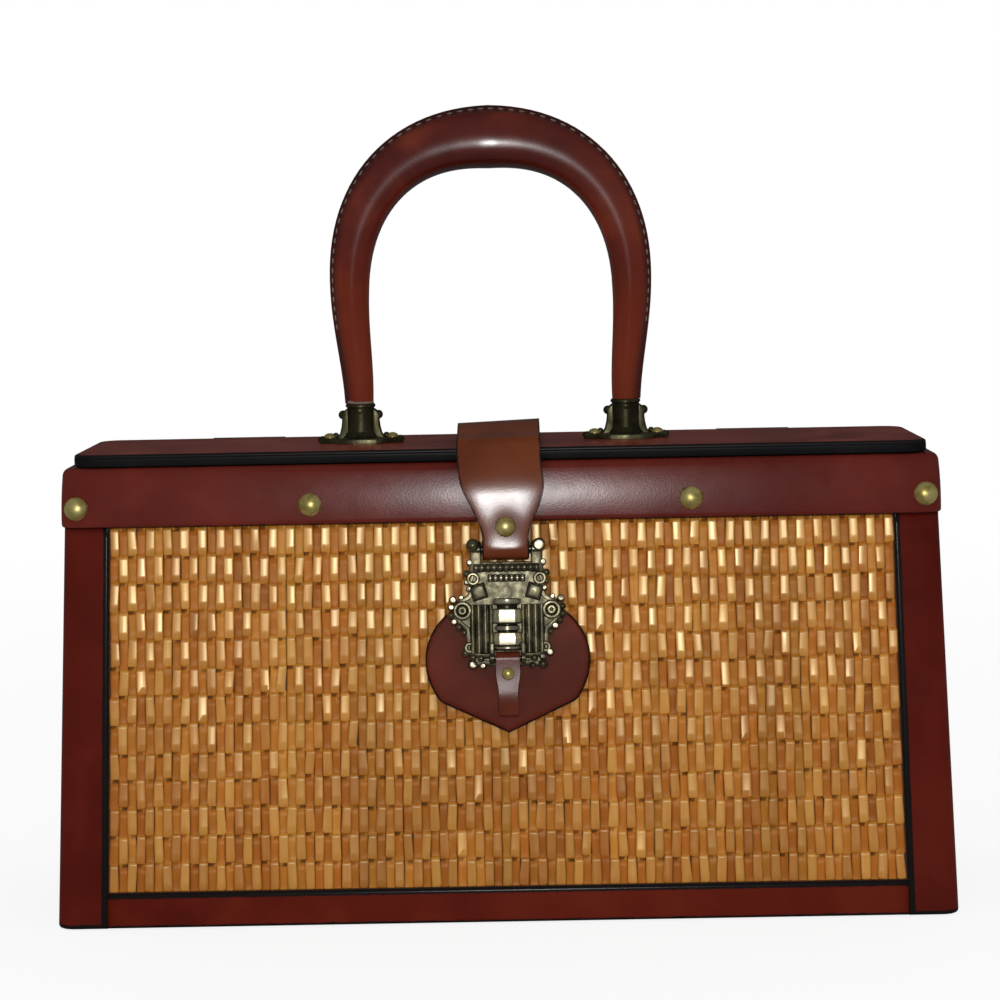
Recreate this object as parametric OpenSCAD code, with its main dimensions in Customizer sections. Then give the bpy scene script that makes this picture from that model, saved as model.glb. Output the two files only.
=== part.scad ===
// Rattan satchel: a plaited case with leather trim, a flat hinged lid, a cast clasp and a horseshoe handle.
// Lengths are in millimetres. The floor is z = 0 and the front faces -Y.

/* [Case] */
// Outer width of the case at the floor
case_w = 350; // [330:1:370]
// How far each end draws in from the floor to the rim
end_draw = 5; // [1:0.5:12]
// Outer depth of the case at the floor
case_d = 126; // [112:1:140]
// Outer depth of the case at the rim, without the rim band
rim_d = 80; // [74:1:90]
// Height of the case from the floor to the rim
case_h = 177.5; // [165:0.5:190]
// Thickness of the front, back and end boards
board_t = 4; // [3:0.5:5]
// Thickness of the base board
base_board_t = 4; // [3:0.5:6]
// Thickness of the leather under the base
base_cover_t = 1.6; // [1:0.1:2.5]
// Thickness of the lining cloth
lining_t = 0.8; // [0.5:0.1:1.2]
// Glue line between pieces that are stuck together
glue_t = 0.1; // [0.05:0.05:0.15]

/* [Leather trim] */
// Thickness of the corner and bottom strips
strip_t = 3; // [2.6:0.1:3.6]
// Width of a corner strip on the front at the floor
corner_foot_w = 20; // [16:0.5:24]
// Width of a corner strip on the front at the rim
corner_top_w = 18; // [14:0.5:22]
// Width of a corner strip on the end of the case
corner_return_w = 15; // [12:0.5:18]
// Outer radius of the vertical corners
corner_r = 7; // [5:0.5:9]
// Bevel on the inner edges of the strips
strip_bevel = 1.2; // [0.6:0.1:1.6]
// Height of the bottom strip
bottom_strip_h = 13.7; // [10:0.1:18]
// How far the bottom strip lies behind the corner strips
bottom_strip_step = 0.4; // [0.2:0.1:0.8]
// Clearance of the strips above the floor
strip_lift = 0.4; // [0.2:0.1:1]
// Height of the rim band
band_h = 23; // [18:0.5:28]
// How far the rim band stands proud of the strips
band_proud = 1; // [0.6:0.1:1.6]
// Thickness of the fold of the band over the rim
band_fold_t = 1.6; // [1.2:0.1:2.2]
// Rounding of the upper edge of the band
band_round_r = 3; // [2:0.1:3.6]

/* [Weave] */
// Pitch of the upright splints
splint_pitch = 3.45; // [3.2:0.05:4.4]
// Height of one row of the plait
row_pitch = 11.1; // [10:0.1:14]
// Thickness of the weave between the raised splints
weave_base_t = 1; // [0.8:0.1:1.4]
// Rise of a splint where it passes over
weave_rise = 1.3; // [0.8:0.1:1.6]
// Gap between the weave and the trim round it
weave_gap = 0.15; // [0.1:0.05:0.3]

/* [Lid] */
// Setback of the lid from the rim at the ends
lid_end_inset = 3; // [2:0.5:6]
// Gap between the rim and the lid
lid_gap = 0.3; // [0.3:0.1:0.6]
// Thickness of the lid board
lid_board_t = 3.4; // [3:0.1:5]
// Thickness of the leather on the lid
lid_cover_t = 1.4; // [1:0.1:2]
// Thickness of the black binding round the lid board
lid_edge_t = 1.2; // [0.8:0.1:1.8]
// Plan radius of the corners of the lid
lid_corner_r = 9; // [6:0.5:14]
// Clearance of the lid lining from the mouth of the case
lid_lining_gap = 2; // [1.5:0.1:4]

/* [Strap] */
// Width of the strap on the lid
strap_w = 32.5; // [28:0.5:36]
// Width of the strap at its loop
strap_end_w = 18; // [15:0.5:19]
// Thickness of the strap
strap_t = 2.2; // [1.8:0.1:2.6]
// Rise of the arch of the strap above the lid
strap_arch = 5; // [3:0.5:8]
// Stand-off of the strap from the rim band
strap_stand = 4.4; // [2:0.1:5]
// Radius of the bend of the strap over the front edge
strap_bend_r = 9; // [8:0.5:11]
// Rise of the strap above the lid where it starts to bend
strap_bend_lift = 2; // [1.6:0.1:3]
// Distance along the front from the rim to the bar of the hasp
strap_drop = 34.3; // [32:0.1:38]
// Setback of the end of the strap from the rear edge of the lid
strap_rear_inset = 6; // [4:0.5:10]

/* [Nails and rivets] */
// Radius of a dome nail on the rim band
nail_r = 4.65; // [3.8:0.05:5.2]
// Height of the dome of a nail
nail_h = 3; // [2:0.1:4]
// Distance of the dome nails below the rim
nail_drop = 15.5; // [10:0.1:16]
// Distance of the inner dome nails from the middle
nail_inner_x = 74; // [60:1:90]
// Distance of the outer dome nails from the end of the case
nail_end_inset = 5.5; // [4:0.5:10]
// Radius of the shank of a dome nail
nail_shank_r = 1; // [0.7:0.1:1.3]
// Radius of the rivet at the loop of the strap
strap_rivet_r = 4; // [3:0.1:4.6]
// Radius of the small rivets and nails
small_rivet_r = 2.2; // [1.8:0.1:2.6]
// Radius of the shank of a rivet
rivet_shank_r = 1; // [0.7:0.1:1.2]
// Clearance between a shank and its hole
shank_gap = 0.05; // [0.03:0.01:0.1]

/* [Clasp] */
// Distance of the strap and the clasp from the middle of the case
clasp_x = 1.8; // [-6:0.1:6]
// Half width of the leather patch
patch_half_w = 32; // [29:0.5:36]
// Thickness of the leather patch
patch_t = 2; // [1.6:0.1:2.6]
// Distance from the bar of the hasp down to the widest part of the patch
patch_drop = 42.5; // [38:0.5:45]
// Height of the patch above its widest part
patch_top_h = 26; // [22:0.5:30]
// Height of the curve of the patch below its widest part
patch_low_h = 28.5; // [25:0.5:31]
// Height of the patch below its widest part, to the tip
patch_tip_h = 28.5; // [26:0.5:32]
// Thickness of the lock plate
lock_t = 1.6; // [1.2:0.1:2.2]
// Half width of the lock plate
lock_half_w = 14; // [12.5:0.5:16]
// Radius of the catch post of the lock plate
post_r = 2; // [1.6:0.1:2.4]
// Height of the catch post above the lock plate
post_h = 3; // [2.4:0.1:3.4]
// Height of the hasp from its bar to its lower edge
hasp_h = 42; // [40:0.5:44]
// Half width of the hasp across its wings
hasp_half_w = 21.5; // [20:0.5:24]
// Thickness of the plate of the hasp
hasp_t = 2; // [1.6:0.1:2.6]
// Gap between the hasp and the lock plate
hasp_stand = 1.3; // [1.1:0.1:1.8]
// Radius of the top bar of the hasp
hasp_bar_r = 1.5; // [1.2:0.1:1.8]
// Radius of the barrel in the middle of the hasp
barrel_r = 5.7; // [5:0.1:6.4]
// Clearance between a bar and the leather loop round it
loop_gap = 0.3; // [0.2:0.05:0.5]
// Length of the pull tab below its bar
tab_h = 22; // [18:0.5:26]
// Width of the pull tab at its bar
tab_w = 9.4; // [8:0.1:10]
// Width of the pull tab at its end
tab_end_w = 6.8; // [5.6:0.1:8]
// Thickness of the leather of the pull tab
tab_t = 1.3; // [1:0.1:1.6]
// Radius of the bar that carries the pull tab
tab_bar_r = 1; // [0.8:0.1:1.2]

/* [Handle] */
// Distance of the handle from the middle of the case
handle_x = -2.6; // [-6:0.1:6]
// Distance between the sockets of the handle
handle_span = 106.6; // [96:0.2:120]
// Height of the middle of the crown above the lid
handle_h = 120.6; // [110:0.1:135]
// Radius of the roll at the crown
crown_r = 11.9; // [9:0.1:13]
// Radius of the roll at the sockets
leg_r = 5.3; // [4.8:0.1:6]
// How far the legs bow out between the socket and the arch
leg_bow = 2.7; // [0:0.1:6]
// Height of the arch of the handle
arch_h = 60.5; // [50:0.5:66]
// Rise of the stitched seam on the outside of the roll
seam_rise = 1.2; // [0.6:0.1:2]
// Height of the handle mount above the lid
mount_h = 15.7; // [14:0.1:18]
// Wall of the socket of the mount
socket_wall = 1.3; // [1:0.1:1.8]
// Fit of the handle end in its socket
socket_fit = 0.1; // [0.05:0.01:0.15]
// Thickness of the flange of the mount
flange_t = 2; // [1.6:0.1:2.6]
// Length of the flange of the mount
flange_w = 34; // [31:0.5:38]
// Width of the middle of the flange
flange_d = 17; // [16:0.5:20]

/* [Hinges] */
// Distance of a hinge from the middle of the case
hinge_x = 105; // [90:1:120]
// Length of the barrel of a hinge
hinge_w = 30; // [26:1:36]
// Radius of the barrel of a hinge
hinge_r = 2.2; // [2:0.1:2.6]
// Radius of the pin of a hinge
hinge_pin_r = 1.1; // [0.9:0.05:1.2]
// Running fit of the pin in its knuckles
hinge_fit = 0.05; // [0.03:0.01:0.08]
// Gap between neighbouring knuckles
knuckle_gap = 0.3; // [0.3:0.05:0.5]
// Thickness of a hinge leaf
leaf_t = 1; // [0.8:0.1:1.3]
// Reach of the hinge leaf on the case below the rim
leaf_h = 16; // [14:0.5:20]
// Radius of the nails in the hinge leaf on the lid
lid_leaf_nail_r = 1.2; // [1:0.1:1.3]

/* [Hidden] */
$fn = 48;

leather = [0.33, 0.09, 0.06];
dyed_edge = [0.03, 0.025, 0.025];
rattan = [0.78, 0.48, 0.16];
brass = [0.62, 0.48, 0.22];
old_brass = [0.36, 0.32, 0.2];
wood = [0.62, 0.47, 0.32];
cloth = [0.55, 0.44, 0.32];

// Overrun of every cut
over = 1;

// Lean of the walls and sizes of a level slice through the case
rim_w = case_w - 2 * end_draw;
lean = atan((case_d - rim_d) / 2 / case_h);
end_lean = atan(end_draw / case_h);
function half_w(z) = case_w / 2 - z * tan(end_lean);
function half_d(z) = case_d / 2 - z * tan(lean);
function run_x(t) = t / cos(end_lean);
function run_y(t) = t / cos(lean);
function corner_w(z) = corner_foot_w + (corner_top_w - corner_foot_w) * z / case_h;

// Depths below the surface of the corner strips
board_out = strip_t + glue_t;
board_in = board_out + board_t;
lining_out = board_in + glue_t;

// Levels of the case
board_z = base_cover_t + glue_t;
board_top = case_h - band_fold_t - glue_t;
band_z = case_h - band_h;
trim_top = band_z - glue_t;
floor_z = board_z + base_board_t + glue_t;

// Levels along the front, measured up the lean, and heights out from the surface of the strips
rim_v = case_h / cos(lean);
weave_low_v = (bottom_strip_h + weave_gap + strip_t * sin(lean)) / cos(lean);
weave_top_v = (band_z - weave_gap) / cos(lean);
weave_crest = weave_base_t + weave_rise - strip_t;
patch_n = weave_crest + glue_t;
lock_n = patch_n + patch_t + glue_t;
lock_front = lock_n + lock_t;
hasp_n = lock_front + hasp_stand;
hasp_front = hasp_n + hasp_t;

// Levels of the lid
lid_z = case_h + lid_gap;
lid_cover_z = lid_z + lid_board_t + glue_t;
lid_top = lid_cover_z + lid_cover_t;
lid_half_w = rim_w / 2 - lid_end_inset;
lid_half_d = rim_d / 2;

// Strap: its path over the lid, round the bend, down the front and round the bar of the hasp
bar_clearance = 0.5;
loop_r = hasp_bar_r + loop_gap + strap_t / 2;
bar_v = rim_v - strap_drop;
bar_n = weave_crest + bar_clearance + loop_r + strap_t / 2;
strap_z = lid_top + glue_t + strap_t / 2;
strap_top_n = band_proud + strap_stand + strap_t / 2;
bend_z = strap_z + strap_bend_lift - strap_bend_r;
bend_n = strap_top_n - strap_bend_r;
bend_y = (bend_z * sin(lean) - bend_n) / cos(lean) - case_d / 2;
bend_v = (bend_y + case_d / 2) * sin(lean) + bend_z * cos(lean);
strap_rear_y = lid_half_d - strap_rear_inset;
strap_flat_l = 12;
strap_rivet_rise = 8.6;
strap_grip = 3;
strap_return = 13;
taper_drop = 6.5;
taper_end_rise = 5;
path_steps = 14;
function blend(s) = s * s * (3 - 2 * s);
function front_yz(v, n) =
    [v * sin(lean) - n * cos(lean) - case_d / 2, v * cos(lean) + n * sin(lean)];
function strap_front_n(v) =
    strap_top_n + (bar_n + loop_r - strap_top_n) * blend((bend_v - v) / (bend_v - bar_v));
function strap_back_n(v) = strap_front_n(v) - strap_t - glue_t;
grip_v = bar_v + strap_rivet_rise - strap_grip;
strap_path = [
    [strap_rear_y, strap_z],
    for (k = [0 : path_steps - 1])
        let (s = k / path_steps, y = strap_rear_y - strap_flat_l)
        [y + (bend_y - y) * s, strap_z + strap_arch * pow(sin(180 * s), 2) + strap_bend_lift * blend(s)],
    for (k = [0 : path_steps])
        let (a = 90 + (90 - lean) * k / path_steps)
        [bend_y + strap_bend_r * cos(a), bend_z + strap_bend_r * sin(a)],
    for (k = [1 : path_steps - 1])
        let (v = bend_v + (bar_v - bend_v) * k / path_steps)
        front_yz(v, strap_front_n(v)),
    for (k = [0 : path_steps])
        let (a = 180 * k / path_steps)
        front_yz(bar_v - loop_r * sin(a), bar_n + loop_r * cos(a)),
    for (k = [1 : path_steps])
        let (s = k / path_steps, n = bar_n - loop_r)
        front_yz(bar_v + (grip_v - bar_v) * s, n + (strap_back_n(grip_v) - n) * blend(s)),
    for (v = [bar_v + strap_rivet_rise, bar_v + strap_return])
        front_yz(v, strap_back_n(v)),
];

// Pull tab: its path in the plane across the bar, measured from the bar, front layer first
tab_loop_r = tab_bar_r + loop_gap + tab_t / 2;
tab_grip_h = 3.6;
tab_rivet_h = 6;
tab_return = 10.5;
tab_curl = 0.5;
function tab_front(h) = tab_loop_r + tab_curl * pow(h / tab_h, 2);
tab_path = [
    for (k = [0 : path_steps])
        let (h = tab_h * (1 - k / path_steps))
        [-h, tab_front(h)],
    for (k = [1 : path_steps])
        let (a = 180 * k / path_steps)
        [tab_loop_r * sin(a), tab_loop_r * cos(a)],
    for (k = [1 : path_steps])
        let (s = k / path_steps, n = tab_front(tab_grip_h) - tab_t - glue_t)
        [-tab_grip_h * s, (n + tab_loop_r) * blend(s) - tab_loop_r],
    for (h = [tab_rivet_h, tab_return])
        [-h, tab_front(h) - tab_t - glue_t],
];
tab_bar_out = 2.6;
tab_bar_v = bar_v - hasp_h;
tab_bar_n = hasp_n + tab_bar_out;

// Notch in the lower edge of the hasp in which the loop of the tab turns
tab_notch_h = tab_loop_r + tab_t / 2 + loop_gap;
tab_notch_half_w = tab_w / 2 + loop_gap;

// Handle: a centre line of two legs and a full arch, with a roll that swells toward the crown
handle_half = handle_span / 2;
arch_half = handle_half + leg_bow;
socket_top = lid_top + glue_t + mount_h;
arch_z = lid_top + handle_h - arch_h;
leg_steps = 8;
arch_steps = 26;
ring_sides = 16;
leg_share = 0.3;
arch_power_share = 0.88;
function arch_point(a) = [
    arch_half * sign(cos(a)) * pow(abs(cos(a)), arch_power_share),
    arch_z + arch_h * pow(abs(sin(a)), arch_power_share),
];
function leg_point(s) =
    [arch_half - leg_bow * (1 + cos(180 * s)) / 2, socket_top + glue_t + (arch_z - socket_top - glue_t) * s];
function handle_radius(s) = leg_r + (crown_r - leg_r) * s;
right_leg = [
    for (k = [0 : leg_steps - 1])
        let (s = k / leg_steps)
        [leg_point(s), handle_radius(leg_share * s)],
];
arch = [
    for (k = [0 : arch_steps])
        let (a = 180 * k / arch_steps, s = 1 - abs(a - 90) / 90)
        [arch_point(a), handle_radius(leg_share + (1 - leg_share) * s)],
];
left_leg = [for (k = [leg_steps - 1 : -1 : 0]) let (p = right_leg[k]) [[-p[0][0], p[0][1]], p[1]]];
handle_line = concat(right_leg, arch, left_leg);

// Hinges: the axis lies behind the band at the level of the gap under the lid
hinge_clearance = 0.3;
hinge_y = half_d(case_h) + run_y(band_proud) + hinge_clearance + hinge_r;
hinge_z = case_h + lid_gap / 2;
knuckle_w = (hinge_w - 2 * knuckle_gap) / 3;
leaf_nail_share = 0.28;

module on_front() {
    translate([0, -case_d / 2, 0]) rotate([90 - lean, 0, 0]) children();
}

module on_back() {
    rotate([0, 0, 180]) on_front() children();
}

module both_sides() {
    children();
    mirror([1, 0, 0]) children();
}

// Solid through a stack of rings of equal count, each listed counterclockwise from above
module loft(rings) {
    n = len(rings[0]);
    top = (len(rings) - 1) * n;
    polyhedron(
        [for (ring = rings) each ring],
        [
            [for (i = [0 : n - 1]) i],
            [for (i = [n : -1 : 1]) top + i % n],
            for (k = [0 : len(rings) - 2])
                for (i = [0 : n - 1])
                    let (a = k * n + i, b = k * n + (i + 1) % n)
                    [a, a + n, b + n, b],
        ]
    );
}

function level_box(z, x0, x1, y0, y1) = [[x0, y0, z], [x1, y0, z], [x1, y1, z], [x0, y1, z]];

function level_rect(z, in) =
    level_box(z, run_x(in) - half_w(z), half_w(z) - run_x(in), run_y(in) - half_d(z), half_d(z) - run_y(in));

corner_steps = 6;
function round_rect(z, out) =
    let (x = half_w(z) + out - corner_r, y = half_d(z) + out - corner_r)
    [
        for (q = [[1, -1, -90], [1, 1, 0], [-1, 1, 90], [-1, -1, 180]])
            for (k = [0 : corner_steps])
                let (a = q[2] + 90 * k / corner_steps)
                [q[0] * x + corner_r * cos(a), q[1] * y + corner_r * sin(a), z],
    ];

// Band of leather or cloth along a path in a plane, drawn as its cross section
module path_band(path, t) {
    last = len(path) - 1;
    normals = [
        for (k = [0 : last])
            let (d = path[min(k + 1, last)] - path[max(k - 1, 0)])
            [-d[1], d[0]] / norm(d),
    ];
    polygon([
        for (k = [0 : last]) path[k] + normals[k] * t / 2,
        for (k = [last : -1 : 0]) path[k] - normals[k] * t / 2,
    ]);
}

module dome(r, h) {
    ball_r = (r * r + h * h) / (2 * h);
    intersection() {
        translate([0, 0, h - ball_r]) sphere(ball_r);
        cylinder(r = r + over, h = h + over);
    }
}

module dome_nail(r, h, shank_r, shank_l) {
    dome(r, h);
    translate([0, 0, -shank_l]) cylinder(r = shank_r, h = shank_l + h / 2);
}

// Case
module base_cover() {
    color(leather)
        linear_extrude(base_cover_t)
            square(
                2 * [half_w(base_cover_t) - run_x(board_out), half_d(base_cover_t) - run_y(board_out)],
                center = true
            );
}

module base_board() {
    color(wood)
        loft([level_rect(board_z, lining_out), level_rect(board_z + base_board_t, lining_out)]);
}

function board_slice(z) =
    let (x = half_w(z) - run_x(board_out))
    level_box(z, -x, x, run_y(board_out) - half_d(z), run_y(board_in) - half_d(z));

module wall_board() {
    color(wood)
        difference() {
            loft([board_slice(board_z), board_slice(board_top)]);
            rim_nail_places() rim_nail_hole();
        }
}

module front_board() {
    wall_board();
}

module back_board() {
    rotate([0, 0, 180]) wall_board();
}

function end_board_slice(z) =
    let (y = half_d(z) - run_y(lining_out))
    level_box(z, half_w(z) - run_x(board_in), half_w(z) - run_x(board_out), -y, y);

module right_end_board() {
    color(wood) loft([end_board_slice(board_z), end_board_slice(board_top)]);
}

module left_end_board() {
    mirror([1, 0, 0]) right_end_board();
}

module case_lining() {
    color(cloth)
        difference() {
            loft([level_rect(floor_z, lining_out), level_rect(case_h - glue_t, lining_out)]);
            loft([
                level_rect(floor_z + lining_t, lining_out + lining_t),
                level_rect(case_h + over, lining_out + lining_t),
            ]);
        }
}

// Plait: a grid of cells in which every second one rises to a ridge, over one and under one
weave_rows = round((weave_top_v - weave_low_v) / row_pitch);
weave_cols = 2 * floor(window_half(weave_low_v) / splint_pitch) + 1;
hip_share = 0.16;
function window_half(v) = half_w(v * cos(lean)) - corner_w(v * cos(lean)) - weave_gap;
function weave_v(j) = weave_low_v + (weave_top_v - weave_low_v) * j / weave_rows;
function weave_u(i, v) = window_half(v) * (2 * i / weave_cols - 1);

module weave_panel() {
    c = weave_cols + 1;
    ridges = c * (weave_rows + 1);
    back = ridges + 2 * ceil(weave_cols * weave_rows / 2);
    points = [
        for (j = [0 : weave_rows])
            for (i = [0 : weave_cols])
                [weave_u(i, weave_v(j)), weave_v(j), weave_base_t - strip_t],
        for (cell = [0 : 2 : weave_cols * weave_rows - 1])
            for (share = [hip_share, 1 - hip_share])
                let (v = weave_v(floor(cell / weave_cols) + share))
                [weave_u(cell % weave_cols + 0.5, v), v, weave_crest],
        for (v = [weave_low_v, weave_top_v]) for (i = [0, weave_cols]) [weave_u(i, v), v, -strip_t],
    ];
    faces = [
        for (cell = [0 : weave_cols * weave_rows - 1])
            let (a = cell + floor(cell / weave_cols), r = ridges + cell, up = a + c)
            each cell % 2 == 1
                ? [[a, up, up + 1, a + 1]]
                : [[a, up, r + 1, r], [a + 1, r, r + 1, up + 1], [a, r, a + 1], [up, up + 1, r + 1]],
        [back, back + 1, back + 3, back + 2],
        [back, for (i = [0 : weave_cols]) i, back + 1],
        [back + 3, for (i = [weave_cols : -1 : 0]) weave_rows * c + i, back + 2],
        [back + 2, for (j = [weave_rows : -1 : 0]) j * c, back],
        [back + 1, for (j = [0 : weave_rows]) j * c + weave_cols, back + 3],
    ];
    color(rattan) on_front() polyhedron(points, faces);
}

module front_weave() {
    weave_panel();
}

module back_weave() {
    rotate([0, 0, 180]) weave_panel();
}

function end_leather_slice(z) =
    let (y = half_d(z) - corner_return_w - glue_t)
    level_box(z, half_w(z) - run_x(strip_t), half_w(z) - run_x(bottom_strip_step), -y, y);

module right_end_leather() {
    color(leather) loft([end_leather_slice(strip_lift), end_leather_slice(trim_top)]);
}

module left_end_leather() {
    mirror([1, 0, 0]) right_end_leather();
}

// Corner strip of the front right corner: an angle of leather, listed from its inner corner
function corner_slice(z) =
    let (x = half_w(z), y = -half_d(z), w = corner_w(z), tx = run_x(strip_t), ty = run_y(strip_t))
    [
        [x - tx, y + ty, z],
        [x - w, y + ty, z],
        [x - w, y + strip_bevel, z],
        [x - w + strip_bevel, y, z],
        for (k = [0 : corner_steps])
            let (a = -90 + 90 * k / corner_steps)
            [x - corner_r + corner_r * cos(a), y + corner_r + corner_r * sin(a), z],
        [x, y + corner_return_w - strip_bevel, z],
        [x - strip_bevel, y + corner_return_w, z],
        [x - tx, y + corner_return_w, z],
    ];

module corner_strip() {
    color(leather) loft([corner_slice(strip_lift), corner_slice(trim_top)]);
}

module front_right_corner_strip() {
    corner_strip();
}

module front_left_corner_strip() {
    mirror([1, 0, 0]) corner_strip();
}

module back_right_corner_strip() {
    mirror([0, 1, 0]) corner_strip();
}

module back_left_corner_strip() {
    rotate([0, 0, 180]) corner_strip();
}

function bottom_slice(z, in) =
    let (x = half_w(z) - corner_w(z) - glue_t)
    level_box(z, -x, x, run_y(in) - half_d(z), run_y(strip_t) - half_d(z));

module bottom_strip() {
    color(leather)
        loft([
            bottom_slice(strip_lift, bottom_strip_step),
            bottom_slice(bottom_strip_h - strip_bevel, bottom_strip_step),
            bottom_slice(bottom_strip_h, bottom_strip_step + strip_bevel),
        ]);
}

module front_bottom_strip() {
    bottom_strip();
}

module back_bottom_strip() {
    rotate([0, 0, 180]) bottom_strip();
}

module rim_band() {
    round_steps = 3;
    color(leather)
        difference() {
            loft([
                round_rect(band_z, band_proud),
                for (k = [0 : round_steps])
                    let (a = 90 * k / round_steps)
                    round_rect(
                        case_h - band_round_r * (1 - sin(a)),
                        band_proud - band_round_r * (1 - cos(a))
                    ),
            ]);
            loft([level_rect(band_z - over, strip_t), level_rect(case_h - band_fold_t, strip_t)]);
            loft([level_rect(band_z - over, board_in), level_rect(case_h + over, board_in)]);
            for (turn = [0, 180])
                rotate([0, 0, turn])
                    rim_nail_places() rim_nail_hole();
        }
}

// Places of the four dome nails on one long side, standing on the surface of the band
nail_seat = band_proud + glue_t;
nail_bite_share = 0.6;
nail_shank_l = nail_seat + board_out + nail_bite_share * board_t;
nail_v = (case_h - nail_drop) / cos(lean);
nail_outer_x = half_w(case_h - nail_drop) - nail_end_inset;

module rim_nail_hole() {
    translate([0, 0, -nail_shank_l]) cylinder(r = nail_shank_r + shank_gap, h = nail_shank_l);
}

module rim_nail_places() {
    on_front()
        for (x = [-nail_outer_x, -nail_inner_x, nail_inner_x, nail_outer_x])
            translate([x, nail_v, nail_seat]) children();
}

module rim_nails() {
    color(brass)
        for (turn = [0, 180])
            rotate([0, 0, turn])
                rim_nail_places() dome_nail(nail_r, nail_h, nail_shank_r, nail_shank_l - glue_t);
}

// Patch: an ellipse of two heights that runs out to a point below
patch_v = bar_v - patch_drop;
patch_turn_share = 0.575;
patch_steps = 40;
patch_turn = asin(patch_turn_share);

module clasp_patch() {
    outline = [
        for (k = [0 : patch_steps])
            let (a = -patch_turn + (180 + 2 * patch_turn) * k / patch_steps)
            let (h = a < 0 || a > 180 ? patch_low_h : patch_top_h)
            [patch_half_w * cos(a), h * sin(a)],
        [0, -patch_tip_h],
    ];
    color(leather)
        on_front()
            translate([clasp_x, patch_v, patch_n])
                difference() {
                    linear_extrude(patch_t) polygon(outline);
                    translate([0, bar_v - patch_v, 0]) lock_rivet_places() rivet_hole(patch_t);
                }
}

module rivet_hole(depth) {
    translate([0, 0, -over]) cylinder(r = rivet_shank_r + shank_gap, h = depth + 2 * over);
}

// Lock plate: a plate with beaded lower corners and the post that catches in the hasp
lock_top_share = 0.5;
lock_low_share = 1.06;
lock_bead_r = 1.8;
lock_rivet_x_share = 0.8;
lock_rivet_shares = [0.56, 0.9];
lock_rivet_h = 0.8;
post_share = 0.66;

module lock_rivet_places() {
    for (x = [-1, 1])
        for (share = lock_rivet_shares)
            translate([x * lock_rivet_x_share * lock_half_w, -share * hasp_h, 0]) children();
}

module lock_plate() {
    top = -lock_top_share * hasp_h;
    low = -lock_low_share * hasp_h;
    color(old_brass)
        on_front()
            translate([clasp_x, bar_v, lock_n])
                difference() {
                    union() {
                        linear_extrude(lock_t)
                            translate([-lock_half_w, low]) square([2 * lock_half_w, top - low]);
                        translate([0, -post_share * hasp_h, 0]) cylinder(r = post_r, h = lock_t + post_h);
                        for (x = [-lock_half_w, lock_half_w])
                            for (y = [top, low])
                                translate([x, y, 0]) cylinder(r = lock_bead_r, h = lock_t);
                        for (x = [-lock_half_w, lock_half_w])
                            translate([x, low, lock_t]) dome(lock_bead_r - glue_t, lock_bead_r / 2);
                    }
                    lock_rivet_places() rivet_hole(lock_t);
                }
}

module lock_rivets() {
    color(brass)
        on_front()
            translate([clasp_x, bar_v, lock_front + glue_t])
                lock_rivet_places()
                    dome_nail(small_rivet_r, lock_rivet_h, rivet_shank_r, lock_front - patch_n);
}

// Hinges
module hinge_knuckles(places) {
    for (k = places)
        translate([k * (knuckle_w + knuckle_gap) - knuckle_w / 2, hinge_y, hinge_z])
            rotate([0, 90, 0]) cylinder(r = hinge_r, h = knuckle_w);
}

module knuckle_room(places) {
    r = hinge_r + hinge_clearance;
    for (k = places)
        translate([k * (knuckle_w + knuckle_gap) - knuckle_w / 2 - knuckle_gap, hinge_y, hinge_z])
            rotate([0, 90, 0]) cylinder(r = r, h = knuckle_w + 2 * knuckle_gap);
}

module pin_bore() {
    translate([-hinge_w, hinge_y, hinge_z])
        rotate([0, 90, 0]) cylinder(r = hinge_pin_r + hinge_fit, h = 2 * hinge_w);
}

leaf_seat = band_proud + glue_t;
module case_leaf_nail_places() {
    on_back()
        for (x = [-1, 1])
            translate([x * leaf_nail_share * hinge_w, rim_v - leaf_h / 2, leaf_seat + leaf_t]) children();
}

module hinge_case_leaf() {
    color(brass)
        difference() {
            union() {
                on_back()
                    translate([-hinge_w / 2, rim_v - leaf_h, leaf_seat]) cube([hinge_w, leaf_h, leaf_t]);
                hinge_knuckles([-1, 1]);
            }
            pin_bore();
            knuckle_room([0]);
            case_leaf_nail_places() translate([0, 0, -leaf_t]) rivet_hole(leaf_t);
        }
}

module right_hinge_case_leaf() {
    translate([hinge_x, 0, 0]) hinge_case_leaf();
}

module left_hinge_case_leaf() {
    translate([-hinge_x, 0, 0]) hinge_case_leaf();
}

module hinge_pin() {
    color(brass)
        translate([-hinge_w / 2, hinge_y, hinge_z]) rotate([0, 90, 0]) cylinder(r = hinge_pin_r, h = hinge_w);
}

module right_hinge_pin() {
    translate([hinge_x, 0, 0]) hinge_pin();
}

module left_hinge_pin() {
    translate([-hinge_x, 0, 0]) hinge_pin();
}

hinge_nail_h = 0.9;
module hinge_case_nails() {
    color(brass)
        for (x = [-hinge_x, hinge_x])
            translate([x, 0, 0])
                case_leaf_nail_places()
                    translate([0, 0, glue_t]) dome_nail(small_rivet_r, hinge_nail_h, rivet_shank_r, leaf_t);
}

// Lid
module lid_outline(in) {
    x = lid_half_w - lid_corner_r;
    y = lid_half_d - lid_corner_r;
    r = lid_corner_r - in;
    for (sx = [-1, 1])
        for (sy = [-1, 1])
            translate([sx * x, sy * y]) circle(r);
    square([2 * (x + r), 2 * y], center = true);
    square([2 * x, 2 * (y + r)], center = true);
}

module lid_holes() {
    for (x = [-1, 1])
        translate([handle_x + x * handle_half, 0, 0]) mount_nail_places() blind_hole();
    strap_rear_places() blind_hole();
}

lid_bite_share = 0.7;
lid_shank_l = lid_cover_t + 2 * glue_t + lid_bite_share * lid_board_t;
module blind_hole() {
    translate([0, 0, lid_top - lid_shank_l])
        cylinder(r = rivet_shank_r + shank_gap, h = lid_shank_l + over);
}

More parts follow.
